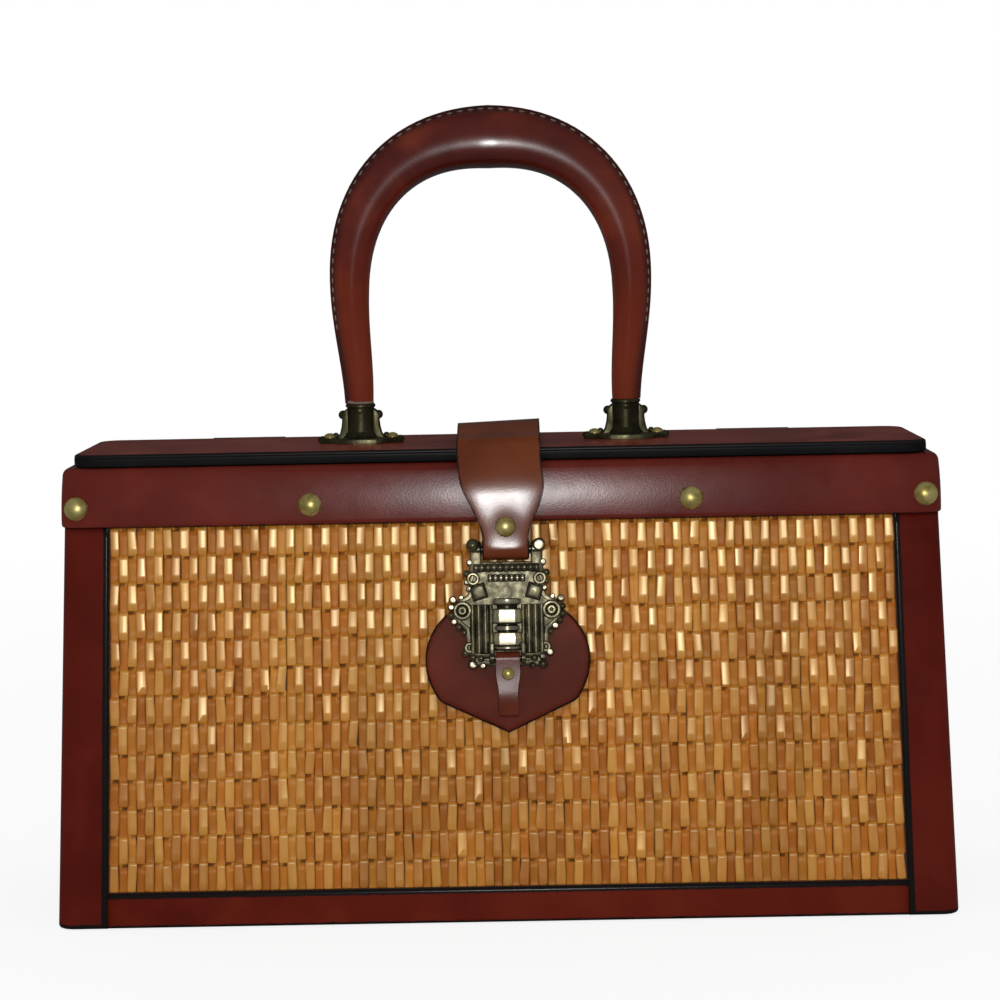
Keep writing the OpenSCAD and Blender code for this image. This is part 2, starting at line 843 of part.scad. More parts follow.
module lid_board() {
    color(wood)
        difference() {
            translate([0, 0, lid_z]) linear_extrude(lid_board_t) lid_outline(lid_edge_t + glue_t);
            lid_holes();
        }
}

module lid_cover() {
    color(leather)
        difference() {
            translate([0, 0, lid_cover_z]) linear_extrude(lid_cover_t) lid_outline(0);
            lid_holes();
        }
}

module lid_edge_binding() {
    color(dyed_edge)
        translate([0, 0, lid_z])
            linear_extrude(lid_board_t)
                difference() {
                    lid_outline(0);
                    lid_outline(lid_edge_t);
                }
}

module lid_lining() {
    x = half_w(case_h) - run_x(lining_out + lining_t) - lid_lining_gap;
    y = half_d(case_h) - run_y(lining_out + lining_t) - lid_lining_gap;
    color(cloth)
        translate([0, 0, lid_z - glue_t - lining_t])
            linear_extrude(lining_t) square([2 * x, 2 * y], center = true);
}

// Lid leaf: a plate on the rear edge of the lid, with two small nails above the knuckles
lid_leaf_back = lid_half_d + glue_t;
lid_leaf_shank_share = 0.5;
lid_leaf_shank_r = lid_leaf_shank_share * lid_leaf_nail_r;
module lid_leaf_nail_places() {
    nail_z = (hinge_z + hinge_r + lid_top) / 2;
    for (x = [-1, 1])
        translate([x * leaf_nail_share * hinge_w, lid_leaf_back + leaf_t, nail_z])
            rotate([-90, 0, 0]) children();
}

module hinge_lid_leaf() {
    drop_y = hinge_y - lid_leaf_back;
    drop_z = hinge_z + hinge_clearance;
    color(brass)
        difference() {
            union() {
                translate([-hinge_w / 2, lid_leaf_back, drop_z])
                    cube([hinge_w, drop_y, lid_top - drop_z]);
                hinge_knuckles([0]);
            }
            pin_bore();
            knuckle_room([-1, 1]);
            translate([-hinge_w, lid_leaf_back + leaf_t, hinge_z + hinge_r])
                cube([2 * hinge_w, drop_y, lid_top - hinge_z]);
            lid_leaf_nail_places()
                cylinder(r = lid_leaf_shank_r + shank_gap, h = 2 * leaf_h, center = true);
        }
}

module right_hinge_lid_leaf() {
    translate([hinge_x, 0, 0]) hinge_lid_leaf();
}

module left_hinge_lid_leaf() {
    translate([-hinge_x, 0, 0]) hinge_lid_leaf();
}

module hinge_lid_nails() {
    color(brass)
        for (x = [-hinge_x, hinge_x])
            translate([x, 0, 0])
                lid_leaf_nail_places()
                    translate([0, 0, glue_t])
                        dome_nail(lid_leaf_nail_r, hinge_nail_h, lid_leaf_shank_r, leaf_t);
}

// Strap
strap_rear_share = 0.3;
module strap_rear_places() {
    for (x = [-1, 1])
        translate([clasp_x + x * strap_rear_share * strap_w, strap_rear_y - strap_flat_l / 2, 0]) children();
}

module strap_outline() {
    low = front_yz(bar_v - 2 * loop_r, 0)[1];
    taper_end = front_yz(bar_v + taper_end_rise, 0)[1];
    taper_start = case_h - taper_drop;
    top = strap_z + 2 * strap_arch + strap_bend_lift;
    taper = [[strap_w, top], [strap_w, taper_start], [strap_end_w, taper_end], [strap_end_w, low]];
    polygon([
        for (p = taper) [-p[0] / 2, p[1]],
        for (k = [len(taper) - 1 : -1 : 0]) [taper[k][0] / 2, taper[k][1]],
    ]);
}

module strap() {
    color(leather)
        difference() {
            translate([clasp_x, 0, 0])
                intersection() {
                    rotate([90, 0, 90]) linear_extrude(strap_w, center = true) path_band(strap_path, strap_t);
                    rotate([90, 0, 0]) linear_extrude(case_d, center = true) strap_outline();
                }
            strap_rear_places() blind_hole();
            strap_rear_places() translate([0, 0, lid_top]) rivet_hole(strap_t);
            on_front()
                translate([clasp_x, strap_rivet_v, bar_n])
                    cylinder(r = rivet_shank_r + shank_gap, h = 2 * hasp_h, center = true);
            strap_rivet_seats();
        }
}

// The dome and the burr of the rivet sit in shallow dimples of the strap
strap_rivet_h = 2.6;
burr_t = 0.6;
seat_depth = 0.5;
seat_gap = 0.3;
strap_rivet_v = bar_v + strap_rivet_rise;
strap_seat_n = strap_front_n(strap_rivet_v) + strap_t / 2 - seat_depth;
strap_burr_n = strap_back_n(strap_rivet_v) - strap_t / 2 + seat_depth;
module strap_rivet_seats() {
    on_front()
        translate([clasp_x, strap_rivet_v, 0]) {
            translate([0, 0, strap_seat_n]) cylinder(r = strap_rivet_r + seat_gap, h = strap_t);
            translate([0, 0, strap_burr_n - strap_t]) cylinder(r = small_rivet_r + seat_gap, h = strap_t);
        }
}

module strap_rivet() {
    front = strap_seat_n + glue_t;
    back = strap_burr_n - glue_t;
    color(brass)
        on_front()
            translate([clasp_x, strap_rivet_v, 0]) {
                translate([0, 0, front]) dome(strap_rivet_r, strap_rivet_h);
                translate([0, 0, back]) cylinder(r = rivet_shank_r, h = front - back + strap_rivet_h / 2);
                translate([0, 0, back - burr_t]) cylinder(r = small_rivet_r, h = burr_t);
            }
}

rear_rivet_h = 1.2;
module strap_rear_rivets() {
    color(brass)
        strap_rear_places()
            translate([0, 0, strap_z + strap_t / 2 + glue_t])
                dome_nail(small_rivet_r + rivet_shank_r, rear_rivet_h, rivet_shank_r, strap_t + lid_shank_l);
}

// Handle
module handle_roll() {
    last = len(handle_line) - 1;
    rings = [
        for (k = [0 : last])
            let (
                d = handle_line[min(k + 1, last)][0] - handle_line[max(k - 1, 0)][0],
                out = [d[1], -d[0]] / norm(d),
                p = handle_line[k][0],
                r = handle_line[k][1]
            )
            [
                for (i = [0 : ring_sides - 1])
                    let (a = 360 * i / ring_sides, w = (r + (i == 0 ? seam_rise : 0)) * cos(a))
                    [p[0] + out[0] * w, r * sin(a), p[1] + out[1] * w],
            ],
    ];
    loft(rings);
}

module handle() {
    tenon_z = lid_top + glue_t + flange_t + glue_t;
    color(leather)
        difference() {
            translate([handle_x, 0, 0]) {
                handle_roll();
                both_sides()
                    translate([handle_half, 0, tenon_z])
                        cylinder(r = tenon_r, h = socket_top + glue_t - tenon_z + leg_r);
            }
            handle_rivet_places() cylinder(r = rivet_shank_r + shank_gap, h = 4 * leg_r, center = true);
        }
}

tenon_share = 0.92;
tenon_r = tenon_share * leg_r;
socket_bore_r = tenon_r + socket_fit;
socket_out_r = socket_bore_r + socket_wall;
handle_rivet_share = 0.66;
module handle_rivet_places() {
    for (x = [-handle_half, handle_half])
        translate([handle_x + x, 0, lid_top + glue_t + handle_rivet_share * mount_h])
            rotate([90, 0, 0]) children();
}

flange_end_r = 4.4;
flange_bridge_d = 6.4;
module mount_nail_places() {
    for (x = [-1, 1])
        translate([x * (flange_w / 2 - flange_end_r), 0, 0]) children();
}

// Mount: a lobed flange, a turned socket with a collar and two side wings with balls
wing_t = 2.4;
wing_ball_r = 1.7;
collar_h = 2.4;
collar_out = 0.7;
wing_foot_share = 0.58;
wing_tip_share = 0.3;
module handle_mount() {
    wing_w = flange_w / 2 - flange_end_r - socket_bore_r;
    wing_x = socket_bore_r + wing_tip_share * wing_w;
    color(old_brass)
        translate([0, 0, lid_top + glue_t])
            difference() {
                union() {
                    linear_extrude(flange_t) {
                        circle(d = flange_d);
                        square([flange_w - 2 * flange_end_r, flange_bridge_d], center = true);
                        mount_nail_places() circle(flange_end_r);
                    }
                    cylinder(r1 = socket_out_r + collar_out, r2 = socket_out_r, h = mount_h - collar_h / 2);
                    for (z = [flange_t, mount_h - collar_h])
                        translate([0, 0, z]) cylinder(r = socket_out_r + collar_out, h = collar_h);
                    rotate([90, 0, 0])
                        linear_extrude(wing_t, center = true)
                            both_sides()
                                polygon([
                                    [0, 0],
                                    [socket_bore_r + wing_foot_share * wing_w, 0],
                                    [socket_bore_r + wing_foot_share * wing_w, flange_t + collar_h],
                                    [wing_x, mount_h / 2],
                                    [wing_x, mount_h - collar_h / 2],
                                    [0, mount_h - collar_h / 2],
                                ]);
                    both_sides() translate([wing_x, 0, mount_h - collar_h / 2]) sphere(wing_ball_r);
                }
                translate([0, 0, flange_t]) cylinder(r = socket_bore_r, h = mount_h);
                mount_nail_places() rivet_hole(flange_t);
                translate([0, 0, handle_rivet_share * mount_h])
                    rotate([90, 0, 0]) cylinder(r = rivet_shank_r + shank_gap, h = flange_d, center = true);
            }
}

module right_handle_mount() {
    translate([handle_x + handle_half, 0, 0]) handle_mount();
}

module left_handle_mount() {
    translate([handle_x - handle_half, 0, 0]) handle_mount();
}

handle_rivet_h = 1;
module handle_rivets() {
    seat = socket_out_r + collar_out + glue_t;
    color(brass)
        handle_rivet_places() {
            cylinder(r = rivet_shank_r, h = 2 * seat + handle_rivet_h, center = true);
            for (turn = [0, 180])
                rotate([turn, 0, 0]) translate([0, 0, seat]) dome(small_rivet_r, handle_rivet_h);
        }
}

mount_nail_h = 1.6;
module mount_nails() {
    color(brass)
        for (x = [-1, 1])
            translate([handle_x + x * handle_half, 0, lid_top + 2 * glue_t + flange_t])
                mount_nail_places()
                    dome_nail(
                        small_rivet_r + rivet_shank_r, mount_nail_h,
                        rivet_shank_r, flange_t + lid_shank_l
                    );
}

// Hasp: a cast cartouche with a barrel, flutes, scrolled wings and beads, hung on a bar
hasp_right_shares = [
    [0.62, -0.13], [0.7, -0.3], [0.66, -0.4], [0.93, -0.5],
    [0.97, -0.62], [0.74, -0.74], [0.76, -0.93], [0.5, -1],
];
ear_w = 4.2;
ear_gap = 0.6;
ear_r = 3.2;
ear_ball_r = 2.6;
ear_foot_share = 0.2;
rosette_r = 3.7;
rosette_h = 1.5;
rosette_shares = [0.48, 0.39];
moulding_r = 1.7;
moulding_shares = [[0.62, 0.19], [0.34, 0.3]];
flute_r = 1.5;
flute_x_shares = [0.38, 0.53];
flute_v_shares = [0.5, 0.95];
scroll_r = 2.6;
scroll_t = 1.3;
scroll_shares = [0.8, 0.58];
bead_r = 1.7;
bead_shares = [
    [0.97, 0.47], [1, 0.62], [0.9, 0.71], [0.78, 0.77], [0.74, 0.96],
    [0.56, 1.02], [0.4, 1], [0.72, 0.24], [0.7, 0.12],
];
barrel_top_share = 0.45;
barrel_low_share = 0.92;
barrel_r_shares = [
    [0, 0.86], [0.1, 0.86], [0.13, 0.7], [0.2, 0.92], [0.44, 1], [0.5, 0.76],
    [0.56, 1], [0.8, 0.92], [0.88, 0.74], [0.91, 0.9], [1, 0.9],
];
slot_gap = 0.3;
slot_travel = 6;
slot_roof = 0.4;

module hasp_barrel() {
    top = -barrel_top_share * hasp_h;
    length = (barrel_low_share - barrel_top_share) * hasp_h;
    translate([0, top, hasp_n + hasp_t / 2])
        rotate([90, 0, 0])
            rotate_extrude()
                polygon([
                    [0, 0],
                    for (p = barrel_r_shares) [barrel_r * p[1], length * p[0]],
                    [0, length],
                ]);
}

module hasp_ear() {
    x = strap_end_w / 2 + ear_gap;
    foot = -ear_foot_share * hasp_h;
    translate([x, 0, bar_n]) rotate([0, 90, 0]) cylinder(r = ear_r, h = ear_w);
    translate([x, foot, bar_n]) cube([ear_w, -foot, hasp_front - bar_n]);
    translate([x + ear_w - ear_ball_r / 2, ear_ball_r / 2, bar_n + ear_ball_r / 2]) sphere(ear_ball_r);
}

module hasp_ornament() {
    translate([hasp_half_w * rosette_shares[0], -hasp_h * rosette_shares[1], hasp_front])
        dome(rosette_r, rosette_h);
    for (share = flute_x_shares)
        translate([hasp_half_w * share, -hasp_h * flute_v_shares[1], hasp_front])
            rotate([-90, 0, 0]) cylinder(r = flute_r, h = hasp_h * (flute_v_shares[1] - flute_v_shares[0]));
    translate([hasp_half_w * scroll_shares[0], -hasp_h * scroll_shares[1], hasp_front])
        rotate_extrude() translate([scroll_r, 0]) circle(scroll_t);
    for (p = bead_shares)
        translate([hasp_half_w * p[0], -hasp_h * p[1], hasp_front - bead_r / 2]) sphere(bead_r);
}

module tab_lug() {
    top = bar_v - tab_bar_v - barrel_low_share * hasp_h;
    translate([tab_notch_half_w, tab_bar_v - bar_v, tab_bar_n]) {
        rotate([0, 90, 0]) cylinder(r = tab_bar_r + tab_t, h = ear_w / 2);
        translate([0, 0, -tab_bar_r - tab_t]) cube([ear_w / 2, top + barrel_r, 2 * tab_bar_r + tab_t]);
    }
}

module cross_bar(r, l) {
    rotate([0, 90, 0]) cylinder(r = r, h = l, center = true);
}

module hasp() {
    slot_w = 2 * (post_r + slot_gap);
    post_top = lock_front + post_h + slot_roof;
    color(old_brass)
        on_front()
            translate([clasp_x, bar_v, 0])
                difference() {
                    union() {
                        translate([0, 0, hasp_n])
                            linear_extrude(hasp_t)
                                both_sides()
                                    polygon([
                                        [0, hasp_h * hasp_right_shares[0][1]],
                                        for (p = hasp_right_shares) [hasp_half_w * p[0], hasp_h * p[1]],
                                        [tab_notch_half_w, -hasp_h],
                                        [tab_notch_half_w, tab_notch_h - hasp_h],
                                        [0, tab_notch_h - hasp_h],
                                    ]);
                        both_sides() {
                            hasp_ear();
                            hasp_ornament();
                            tab_lug();
                        }
                        intersection() {
                            hasp_barrel();
                            translate([-hasp_half_w, -2 * hasp_h, hasp_n])
                                cube([2 * hasp_half_w, 2 * hasp_h, hasp_h]);
                        }
                        for (p = moulding_shares)
                            translate([0, -hasp_h * p[1], hasp_front])
                                cross_bar(moulding_r, 2 * hasp_half_w * p[0]);
                        translate([0, 0, bar_n]) cross_bar(hasp_bar_r, strap_end_w + 2 * ear_w);
                        translate([0, tab_bar_v - bar_v, tab_bar_n]) cross_bar(tab_bar_r, tab_w + ear_w);
                    }
                    translate([-slot_w / 2, -post_share * hasp_h - slot_w / 2 - slot_travel, hasp_n - over])
                        cube([slot_w, slot_w + slot_travel, post_top - hasp_n + over]);
                }
}

// Pull tab
module pull_tab() {
    color(leather)
        on_front()
            translate([clasp_x, tab_bar_v, tab_bar_n])
                difference() {
                    intersection() {
                        rotate([90, 0, 90])
                            linear_extrude(tab_w, center = true) path_band(tab_path, tab_t);
                        linear_extrude(4 * tab_h, center = true)
                            polygon([
                                [-tab_w / 2, tab_h],
                                [-tab_w / 2, 0],
                                [-tab_end_w / 2, -tab_h - over],
                                [tab_end_w / 2, -tab_h - over],
                                [tab_w / 2, 0],
                                [tab_w / 2, tab_h],
                            ]);
                    }
                    translate([0, -tab_rivet_h, 0])
                        cylinder(r = rivet_shank_r + shank_gap, h = 2 * tab_h, center = true);
                }
}

tab_rivet_r = 2.5;
tab_rivet_dome_h = 1.7;
module pull_tab_rivet() {
    front = tab_front(tab_rivet_h) + tab_t / 2 + glue_t;
    back = tab_front(tab_rivet_h) - 1.5 * tab_t - 2 * glue_t;
    color(brass)
        on_front()
            translate([clasp_x, tab_bar_v - tab_rivet_h, tab_bar_n]) {
                translate([0, 0, front]) dome(tab_rivet_r, tab_rivet_dome_h);
                translate([0, 0, back]) cylinder(r = rivet_shank_r, h = front - back + tab_rivet_dome_h / 2);
                translate([0, 0, back - burr_t]) cylinder(r = small_rivet_r, h = burr_t);
            }
}

base_cover();
base_board();
front_board();
back_board();
left_end_board();
right_end_board();
case_lining();
front_weave();
back_weave();
left_end_leather();
right_end_leather();
front_left_corner_strip();
front_right_corner_strip();
back_left_corner_strip();
back_right_corner_strip();
front_bottom_strip();
back_bottom_strip();
rim_band();
rim_nails();
clasp_patch();
lock_plate();
lock_rivets();
left_hinge_case_leaf();
right_hinge_case_leaf();
left_hinge_pin();
right_hinge_pin();
hinge_case_nails();
lid_board();
lid_cover();
lid_edge_binding();
lid_lining();
left_hinge_lid_leaf();
right_hinge_lid_leaf();
hinge_lid_nails();
strap();
strap_rivet();
strap_rear_rivets();
handle();
left_handle_mount();
right_handle_mount();
handle_rivets();
mount_nails();
hasp();
pull_tab();
pull_tab_rivet();
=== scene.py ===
# %% [markdown]
# # Dressing a rattan satchel
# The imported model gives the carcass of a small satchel: a leaning case of boards, a flat hinged lid,
# a strap, a cast clasp and a horseshoe handle. Here every piece that shows gets the shape and the
# finish of the real one, in the same frame and in metres.

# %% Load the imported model
import math
import random

import bmesh
import bpy
from mathutils import Matrix, Vector, noise


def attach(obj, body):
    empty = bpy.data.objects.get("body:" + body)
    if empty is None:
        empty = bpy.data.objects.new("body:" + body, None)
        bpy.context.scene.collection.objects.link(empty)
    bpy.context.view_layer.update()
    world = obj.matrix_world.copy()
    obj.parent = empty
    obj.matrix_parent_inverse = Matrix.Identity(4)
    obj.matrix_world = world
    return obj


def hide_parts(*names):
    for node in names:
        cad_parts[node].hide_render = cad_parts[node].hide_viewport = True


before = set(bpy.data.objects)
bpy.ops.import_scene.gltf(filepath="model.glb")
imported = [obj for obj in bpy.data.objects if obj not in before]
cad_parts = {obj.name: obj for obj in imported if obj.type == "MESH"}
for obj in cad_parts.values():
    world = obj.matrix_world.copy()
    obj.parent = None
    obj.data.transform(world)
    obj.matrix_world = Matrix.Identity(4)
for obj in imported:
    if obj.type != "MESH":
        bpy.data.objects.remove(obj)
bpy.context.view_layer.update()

# %% [markdown]
# ## Sizes of the case
# The case leans: the front and back draw in toward the rim, the ends a little. A point on the front
# is easiest to give as x, v up the slope and n out of the surface, so two matrices carry such a point
# to the front and to the back. Moving whole meshes with a matrix keeps each piece flat while it is made.

# %% Case sizes and the two slopes
MM = 0.001


def mm(*values):
    """Millimetres as metres: one number for one value, a list for more."""
    return values[0] * MM if len(values) == 1 else [value * MM for value in values]


CASE_W, CASE_D, CASE_H = mm(350, 126, 177.5)
END_DRAW, RIM_D = mm(5, 80)
CORNER_FOOT_W, CORNER_TOP_W, CORNER_RETURN, CORNER_R = mm(20, 18, 15, 7)
BAND_H, BAND_PROUD, BAND_ROUND = mm(23, 1, 3)
STRIP_LIFT, BOTTOM_STRIP_H, BOTTOM_STRIP_STEP = mm(0.4, 13.7, 0.4)
BAND_Z = CASE_H - BAND_H
LEAN = math.atan((CASE_D - RIM_D) / 2 / CASE_H)
END_LEAN = math.atan(END_DRAW / CASE_H)
FRONT = Matrix.Translation((0, -CASE_D / 2, 0)) @ Matrix.Rotation(math.pi / 2 - LEAN, 4, "X")
BACK = Matrix.Rotation(math.pi, 4, "Z") @ FRONT
CLASP_X, HANDLE_X = mm(1.8, -2.6)
CLASP = Matrix.Translation((CLASP_X, 0, 0)) @ FRONT
CASE_MIDDLE = (0, 0, CASE_H / 2)


def half_w(z):
    return CASE_W / 2 - z * math.tan(END_LEAN)


def half_d(z):
    return CASE_D / 2 - z * math.tan(LEAN)


def corner_w(z):
    return CORNER_FOOT_W + (CORNER_TOP_W - CORNER_FOOT_W) * z / CASE_H


def smooth_step(low, high, x):
    t = min(max((x - low) / (high - low), 0), 1)
    return t * t * (3 - 2 * t)


print("lean of the front:", round(math.degrees(LEAN), 2), "degrees")

# %% [markdown]
# ## Node helpers
# Every finish is a small node graph. Adding a node, its settings and its links in one call keeps the
# graphs readable, and tiny helpers cover what they share: noise, ramps, mixes and a little arithmetic.

# %% Helpers for the finishes
def add(tree, kind, inputs=None, **settings):
    made = tree.nodes.new("ShaderNode" + kind)
    for key, value in settings.items():
        setattr(made, key, value)
    for key, value in (inputs or {}).items():
        if isinstance(value, bpy.types.NodeSocket):
            tree.links.new(value, made.inputs[key])
        else:
            made.inputs[key].default_value = value
    return made


def cloudy(tree, coords, scale, detail=4, distortion=0):
    inputs = {"Vector": coords, "Scale": scale, "Detail": detail, "Distortion": distortion}
    return add(tree, "TexNoise", inputs).outputs["Fac"]


def ramp(tree, factor, stops):
    made = add(tree, "ValToRGB", {"Fac": factor})
    points = made.color_ramp.elements
    while len(points) < len(stops):
        points.new(0.5)
    for point, (place, colour) in zip(points, stops):
        point.position = place
        point.color = (*colour, 1)
    return made.outputs["Color"]


def mix(tree, factor, first, second):
    ends = {6: first, 7: second}
    for index, value in ends.items():
        if not isinstance(value, bpy.types.NodeSocket):
            ends[index] = (*value, 1)
    return add(tree, "Mix", {0: factor, **ends}, data_type="RGBA").outputs[2]


def math_node(tree, operation, first, second):
    return add(tree, "Math", {0: first, 1: second}, operation=operation).outputs[0]


def times(tree, first, second):
    return math_node(tree, "MULTIPLY", first, second)


def plus(tree, first, second):
    return math_node(tree, "ADD", first, second)


def between(tree, value, low, high, to_low, to_high):
    inputs = {"Value": value, "From Min": low, "From Max": high, "To Min": to_low, "To Max": to_high}
    return add(tree, "MapRange", inputs, interpolation_type="SMOOTHSTEP").outputs["Result"]


def new_finish(name):
    finish = bpy.data.materials.new(name)
    finish.use_nodes = True
    tree = finish.node_tree
    coords = add(tree, "TexCoord").outputs["Object"]
    return finish, tree, tree.nodes["Principled BSDF"], coords


def attribute(tree, name):
    return add(tree, "Attribute", attribute_name=name).outputs["Fac"]


def paint(tree, shader, colour, rough):
    tree.links.new(colour, shader.inputs["Base Color"])
    tree.links.new(rough, shader.inputs["Roughness"])


def bump(tree, shader, height, strength, distance):
    made = add(tree, "Bump", {"Height": height, "Strength": strength, "Distance": distance})
    tree.links.new(made.outputs["Normal"], shader.inputs["Normal"])


print("node helpers ready")

# %% [markdown]
# ## Leather
# The trim is smooth hide, dyed a deep red brown and polished, with its cut edges dyed black. A flat
# colour would look like plastic, so the colour drifts in clouds, fine pores break the gloss, and the
# black dye follows an attribute: each leather piece stores how far a point lies from its cut edge.

# %% Leather finishes
BLACK_DYE = (0.008, 0.006, 0.006)
BARE_HIDE = (0.16, 0.075, 0.04)


def leather(name, deep, body, warm, gloss=0.173, dye_mm=2.6, shine=0.23, dyed=True, painted_shade_mm=0, legs=False):
    finish, tree, shader, coords = new_finish(name)
    colour = ramp(tree, cloudy(tree, coords, 38, 5, 0.4), [(0.28, deep), (0.52, body), (0.8, warm)])
    drift = between(tree, cloudy(tree, coords, 9, 2), 0.35, 0.7, 0, 0.45)
    colour = mix(tree, drift, colour, warm)
    rough = between(tree, cloudy(tree, coords, 120, 4), 0.3, 0.75, gloss - 0.01, gloss + 0.02)
    if legs:
        height = add(tree, "SeparateXYZ", {"Vector": coords}).outputs["Z"]
        rough = plus(tree, rough, between(tree, height, *mm(240, 275), -0.09, 0))
        # Painted sheen: low on the legs the colour turns to the warm tone, standing in for the lamp's broad
        # glow there.
        colour = mix(tree, between(tree, height, *mm(205, 260), 0.8, 0), colour, warm)
    if dyed:
        wobble = times(tree, cloudy(tree, coords, 260, 3), 0.0009)
        edge = plus(tree, attribute(tree, "edge"), wobble)
        # Painted shade: the colour darkens within a few millimetres of the seam and again far from it, under
        # the handle.
        if painted_shade_mm:
            painted_shade = between(tree, edge, *mm(2, painted_shade_mm), 0.8, 0)
            painted_shade = plus(tree, painted_shade, between(tree, edge, *mm(23, 34), 0, 0.75))
            colour = mix(tree, painted_shade, colour, [c * 0.45 for c in deep])
        dye = between(tree, edge, *mm(dye_mm + 0.1, dye_mm + 0.8), 1, 0)
        colour = mix(tree, dye, colour, BLACK_DYE)
        chafe = between(tree, cloudy(tree, coords, 420, 4), 0.62, 0.74, 0, 0.25)
        chafe = times(tree, chafe, between(tree, edge, *mm(0.7, 1.2), 1, 0))
        colour = mix(tree, chafe, colour, BARE_HIDE)
    paint(tree, shader, colour, rough)
    shader.inputs["Specular IOR Level"].default_value = shine
    pores = add(tree, "TexVoronoi", {"Vector": coords, "Scale": 1300}).outputs["Distance"]
    relief = plus(tree, times(tree, pores, 0.22), cloudy(tree, coords, 75, 3))
    bump(tree, shader, relief, 0.06, 0.0005)
    return finish


HIDES = {
    "foot": ((0.068, 0.0056, 0.0027), (0.094, 0.0085, 0.0038), (0.125, 0.0145, 0.0055), {"shine": 0.13}),
    "trim": ((0.055, 0.0044, 0.0026), (0.076, 0.0065, 0.0036), (0.1, 0.0112, 0.0052), {"shine": 0.13}),
    "band": (
        (0.07, 0.008, 0.006), (0.092, 0.0118, 0.008), (0.125, 0.018, 0.011),
        {"gloss": 0.18, "dye_mm": 1, "shine": 0.19},
    ),
    "lid": ((0.12, 0.014, 0.009), (0.17, 0.024, 0.015), (0.24, 0.05, 0.032), {"gloss": 0.3}),
    "plain": ((0.045, 0.004, 0.0025), (0.06, 0.006, 0.004), (0.08, 0.01, 0.006), {"dyed": False}),
    "strap": (
        (0.085, 0.015, 0.005), (0.12, 0.026, 0.0075), (0.15, 0.038, 0.011),
        {"gloss": 0.19, "dye_mm": 0.5, "shine": 0.42},
    ),
    "tab": (
        (0.06, 0.01, 0.005), (0.08, 0.015, 0.007), (0.11, 0.024, 0.01),
        {"gloss": 0.2, "dye_mm": 0.4, "shine": 0.12},
    ),
    # The handle paints shade beside its seam and under its crown, and a sheen low on its legs.
    "handle": (
        (0.034, 0.002, 0.0014), (0.07, 0.0044, 0.002), (0.165, 0.022, 0.0055),
        {"gloss": 0.21, "dye_mm": 0.9, "shine": 0.78, "painted_shade_mm": 9, "legs": True},
    ),
    "patch": (
        (0.065, 0.009, 0.0045), (0.095, 0.0145, 0.0062), (0.14, 0.024, 0.0085),
        {"gloss": 0.3, "dye_mm": 0.7, "shine": 0.05},
    ),
    "edge": (
        (0.004, 0.004, 0.005), (0.006, 0.006, 0.007), (0.01, 0.009, 0.01),
        {"gloss": 0.35, "shine": 0.08, "dyed": False},
    ),
}
hides = {name: leather(f"{name}_leather", *tones, **settings) for name, (*tones, settings) in HIDES.items()}
print("leather finishes:", list(hides))

# %% [markdown]
# ## Cane, metal, wood and cloth
# The splints are split cane: honey to orange brown, streaked along their length and varnished. Each
# splint stores a tone of its own, how much painted shade it takes and the way across it, so no two
# floats match, the hollows are painted dark as shade and the sheen falls off softly at both edges. The
# castings are old brass gone olive in the hollows. Inside, boards are bare wood and the lining is a plain
# woven cloth.

# %% Cane
def mix_value(tree, share, a, b):
    return plus(tree, times(tree, math_node(tree, "SUBTRACT", b, a), share), a)


def cane(name, deep, body, pale, hollow, olive, sheen):
    finish, tree, shader, coords = new_finish(name)
    stretched = add(tree, "Mapping", {"Vector": coords, "Scale": (900, 60, 38)}).outputs["Vector"]
    streaks = cloudy(tree, stretched, 1, 4)
    tone, depth, hue, side = [attribute(tree, name) for name in ("tone", "depth", "hue", "side")]
    blend = plus(tree, times(tree, tone, 0.75), times(tree, streaks, 0.35))
    colour = ramp(tree, blend, [(0.12, deep), (0.5, body), (0.95, pale)])
    colour = mix(tree, hue, colour, olive)
    stains = between(tree, cloudy(tree, coords, 30, 3), 0.45, 0.72, 0, 0.25)
    colour = mix(tree, stains, colour, deep)
    # Painted shade: the depth attribute mixes in the dark hollow tone at pits, row ends and sunk lengths.
    colour = mix(tree, depth, colour, hollow)
    rough = between(tree, streaks, 0.3, 0.7, 0.28, 0.35)
    rough = mix_value(tree, between(tree, depth, 0.01, 0.06, 0, 1), rough, 0.42)
    rough = mix_value(tree, between(tree, depth, 0.1, 0.3, 0, 1), rough, 0.65)
    paint(tree, shader, colour, rough)
    across = add(tree, "CombineXYZ", {"X": 1, "Y": 0, "Z": 0}).outputs["Vector"]
    tree.links.new(across, shader.inputs["Tangent"])
    shader.inputs["Anisotropic"].default_value = 0.85
    shader.inputs["IOR"].default_value = 1.92
    shader.inputs["Specular IOR Level"].default_value = sheen
    shader.inputs["Specular Tint"].default_value = (1, 0.83, 0.5, 1)
    fall = times(tree, times(tree, side, side), -0.55)
    bump(tree, shader, plus(tree, times(tree, streaks, 0.15), fall), 1, 0.0003)
    return finish


# Tones: deep, body, pale, then the dark hollow tone used as painted shade, then olive.
SPLINT_TONES = (
    (0.28, 0.068, 0.002), (0.43, 0.122, 0.006), (0.62, 0.265, 0.036),
    (0.07, 0.022, 0.003), (0.38, 0.155, 0.012),
)
WEFT_TONES = (
    (0.1, 0.035, 0.008), (0.2, 0.08, 0.02), (0.3, 0.14, 0.045), (0.05, 0.015, 0.004), (0.15, 0.07, 0.02),
)
splint_cane = cane("splint_cane", *SPLINT_TONES, sheen=1)
sunk_cane = cane("sunk_cane", *SPLINT_TONES, sheen=0.22)
weft_cane = cane("weft_cane", *WEFT_TONES, sheen=0.3)
print("cane finishes ready")

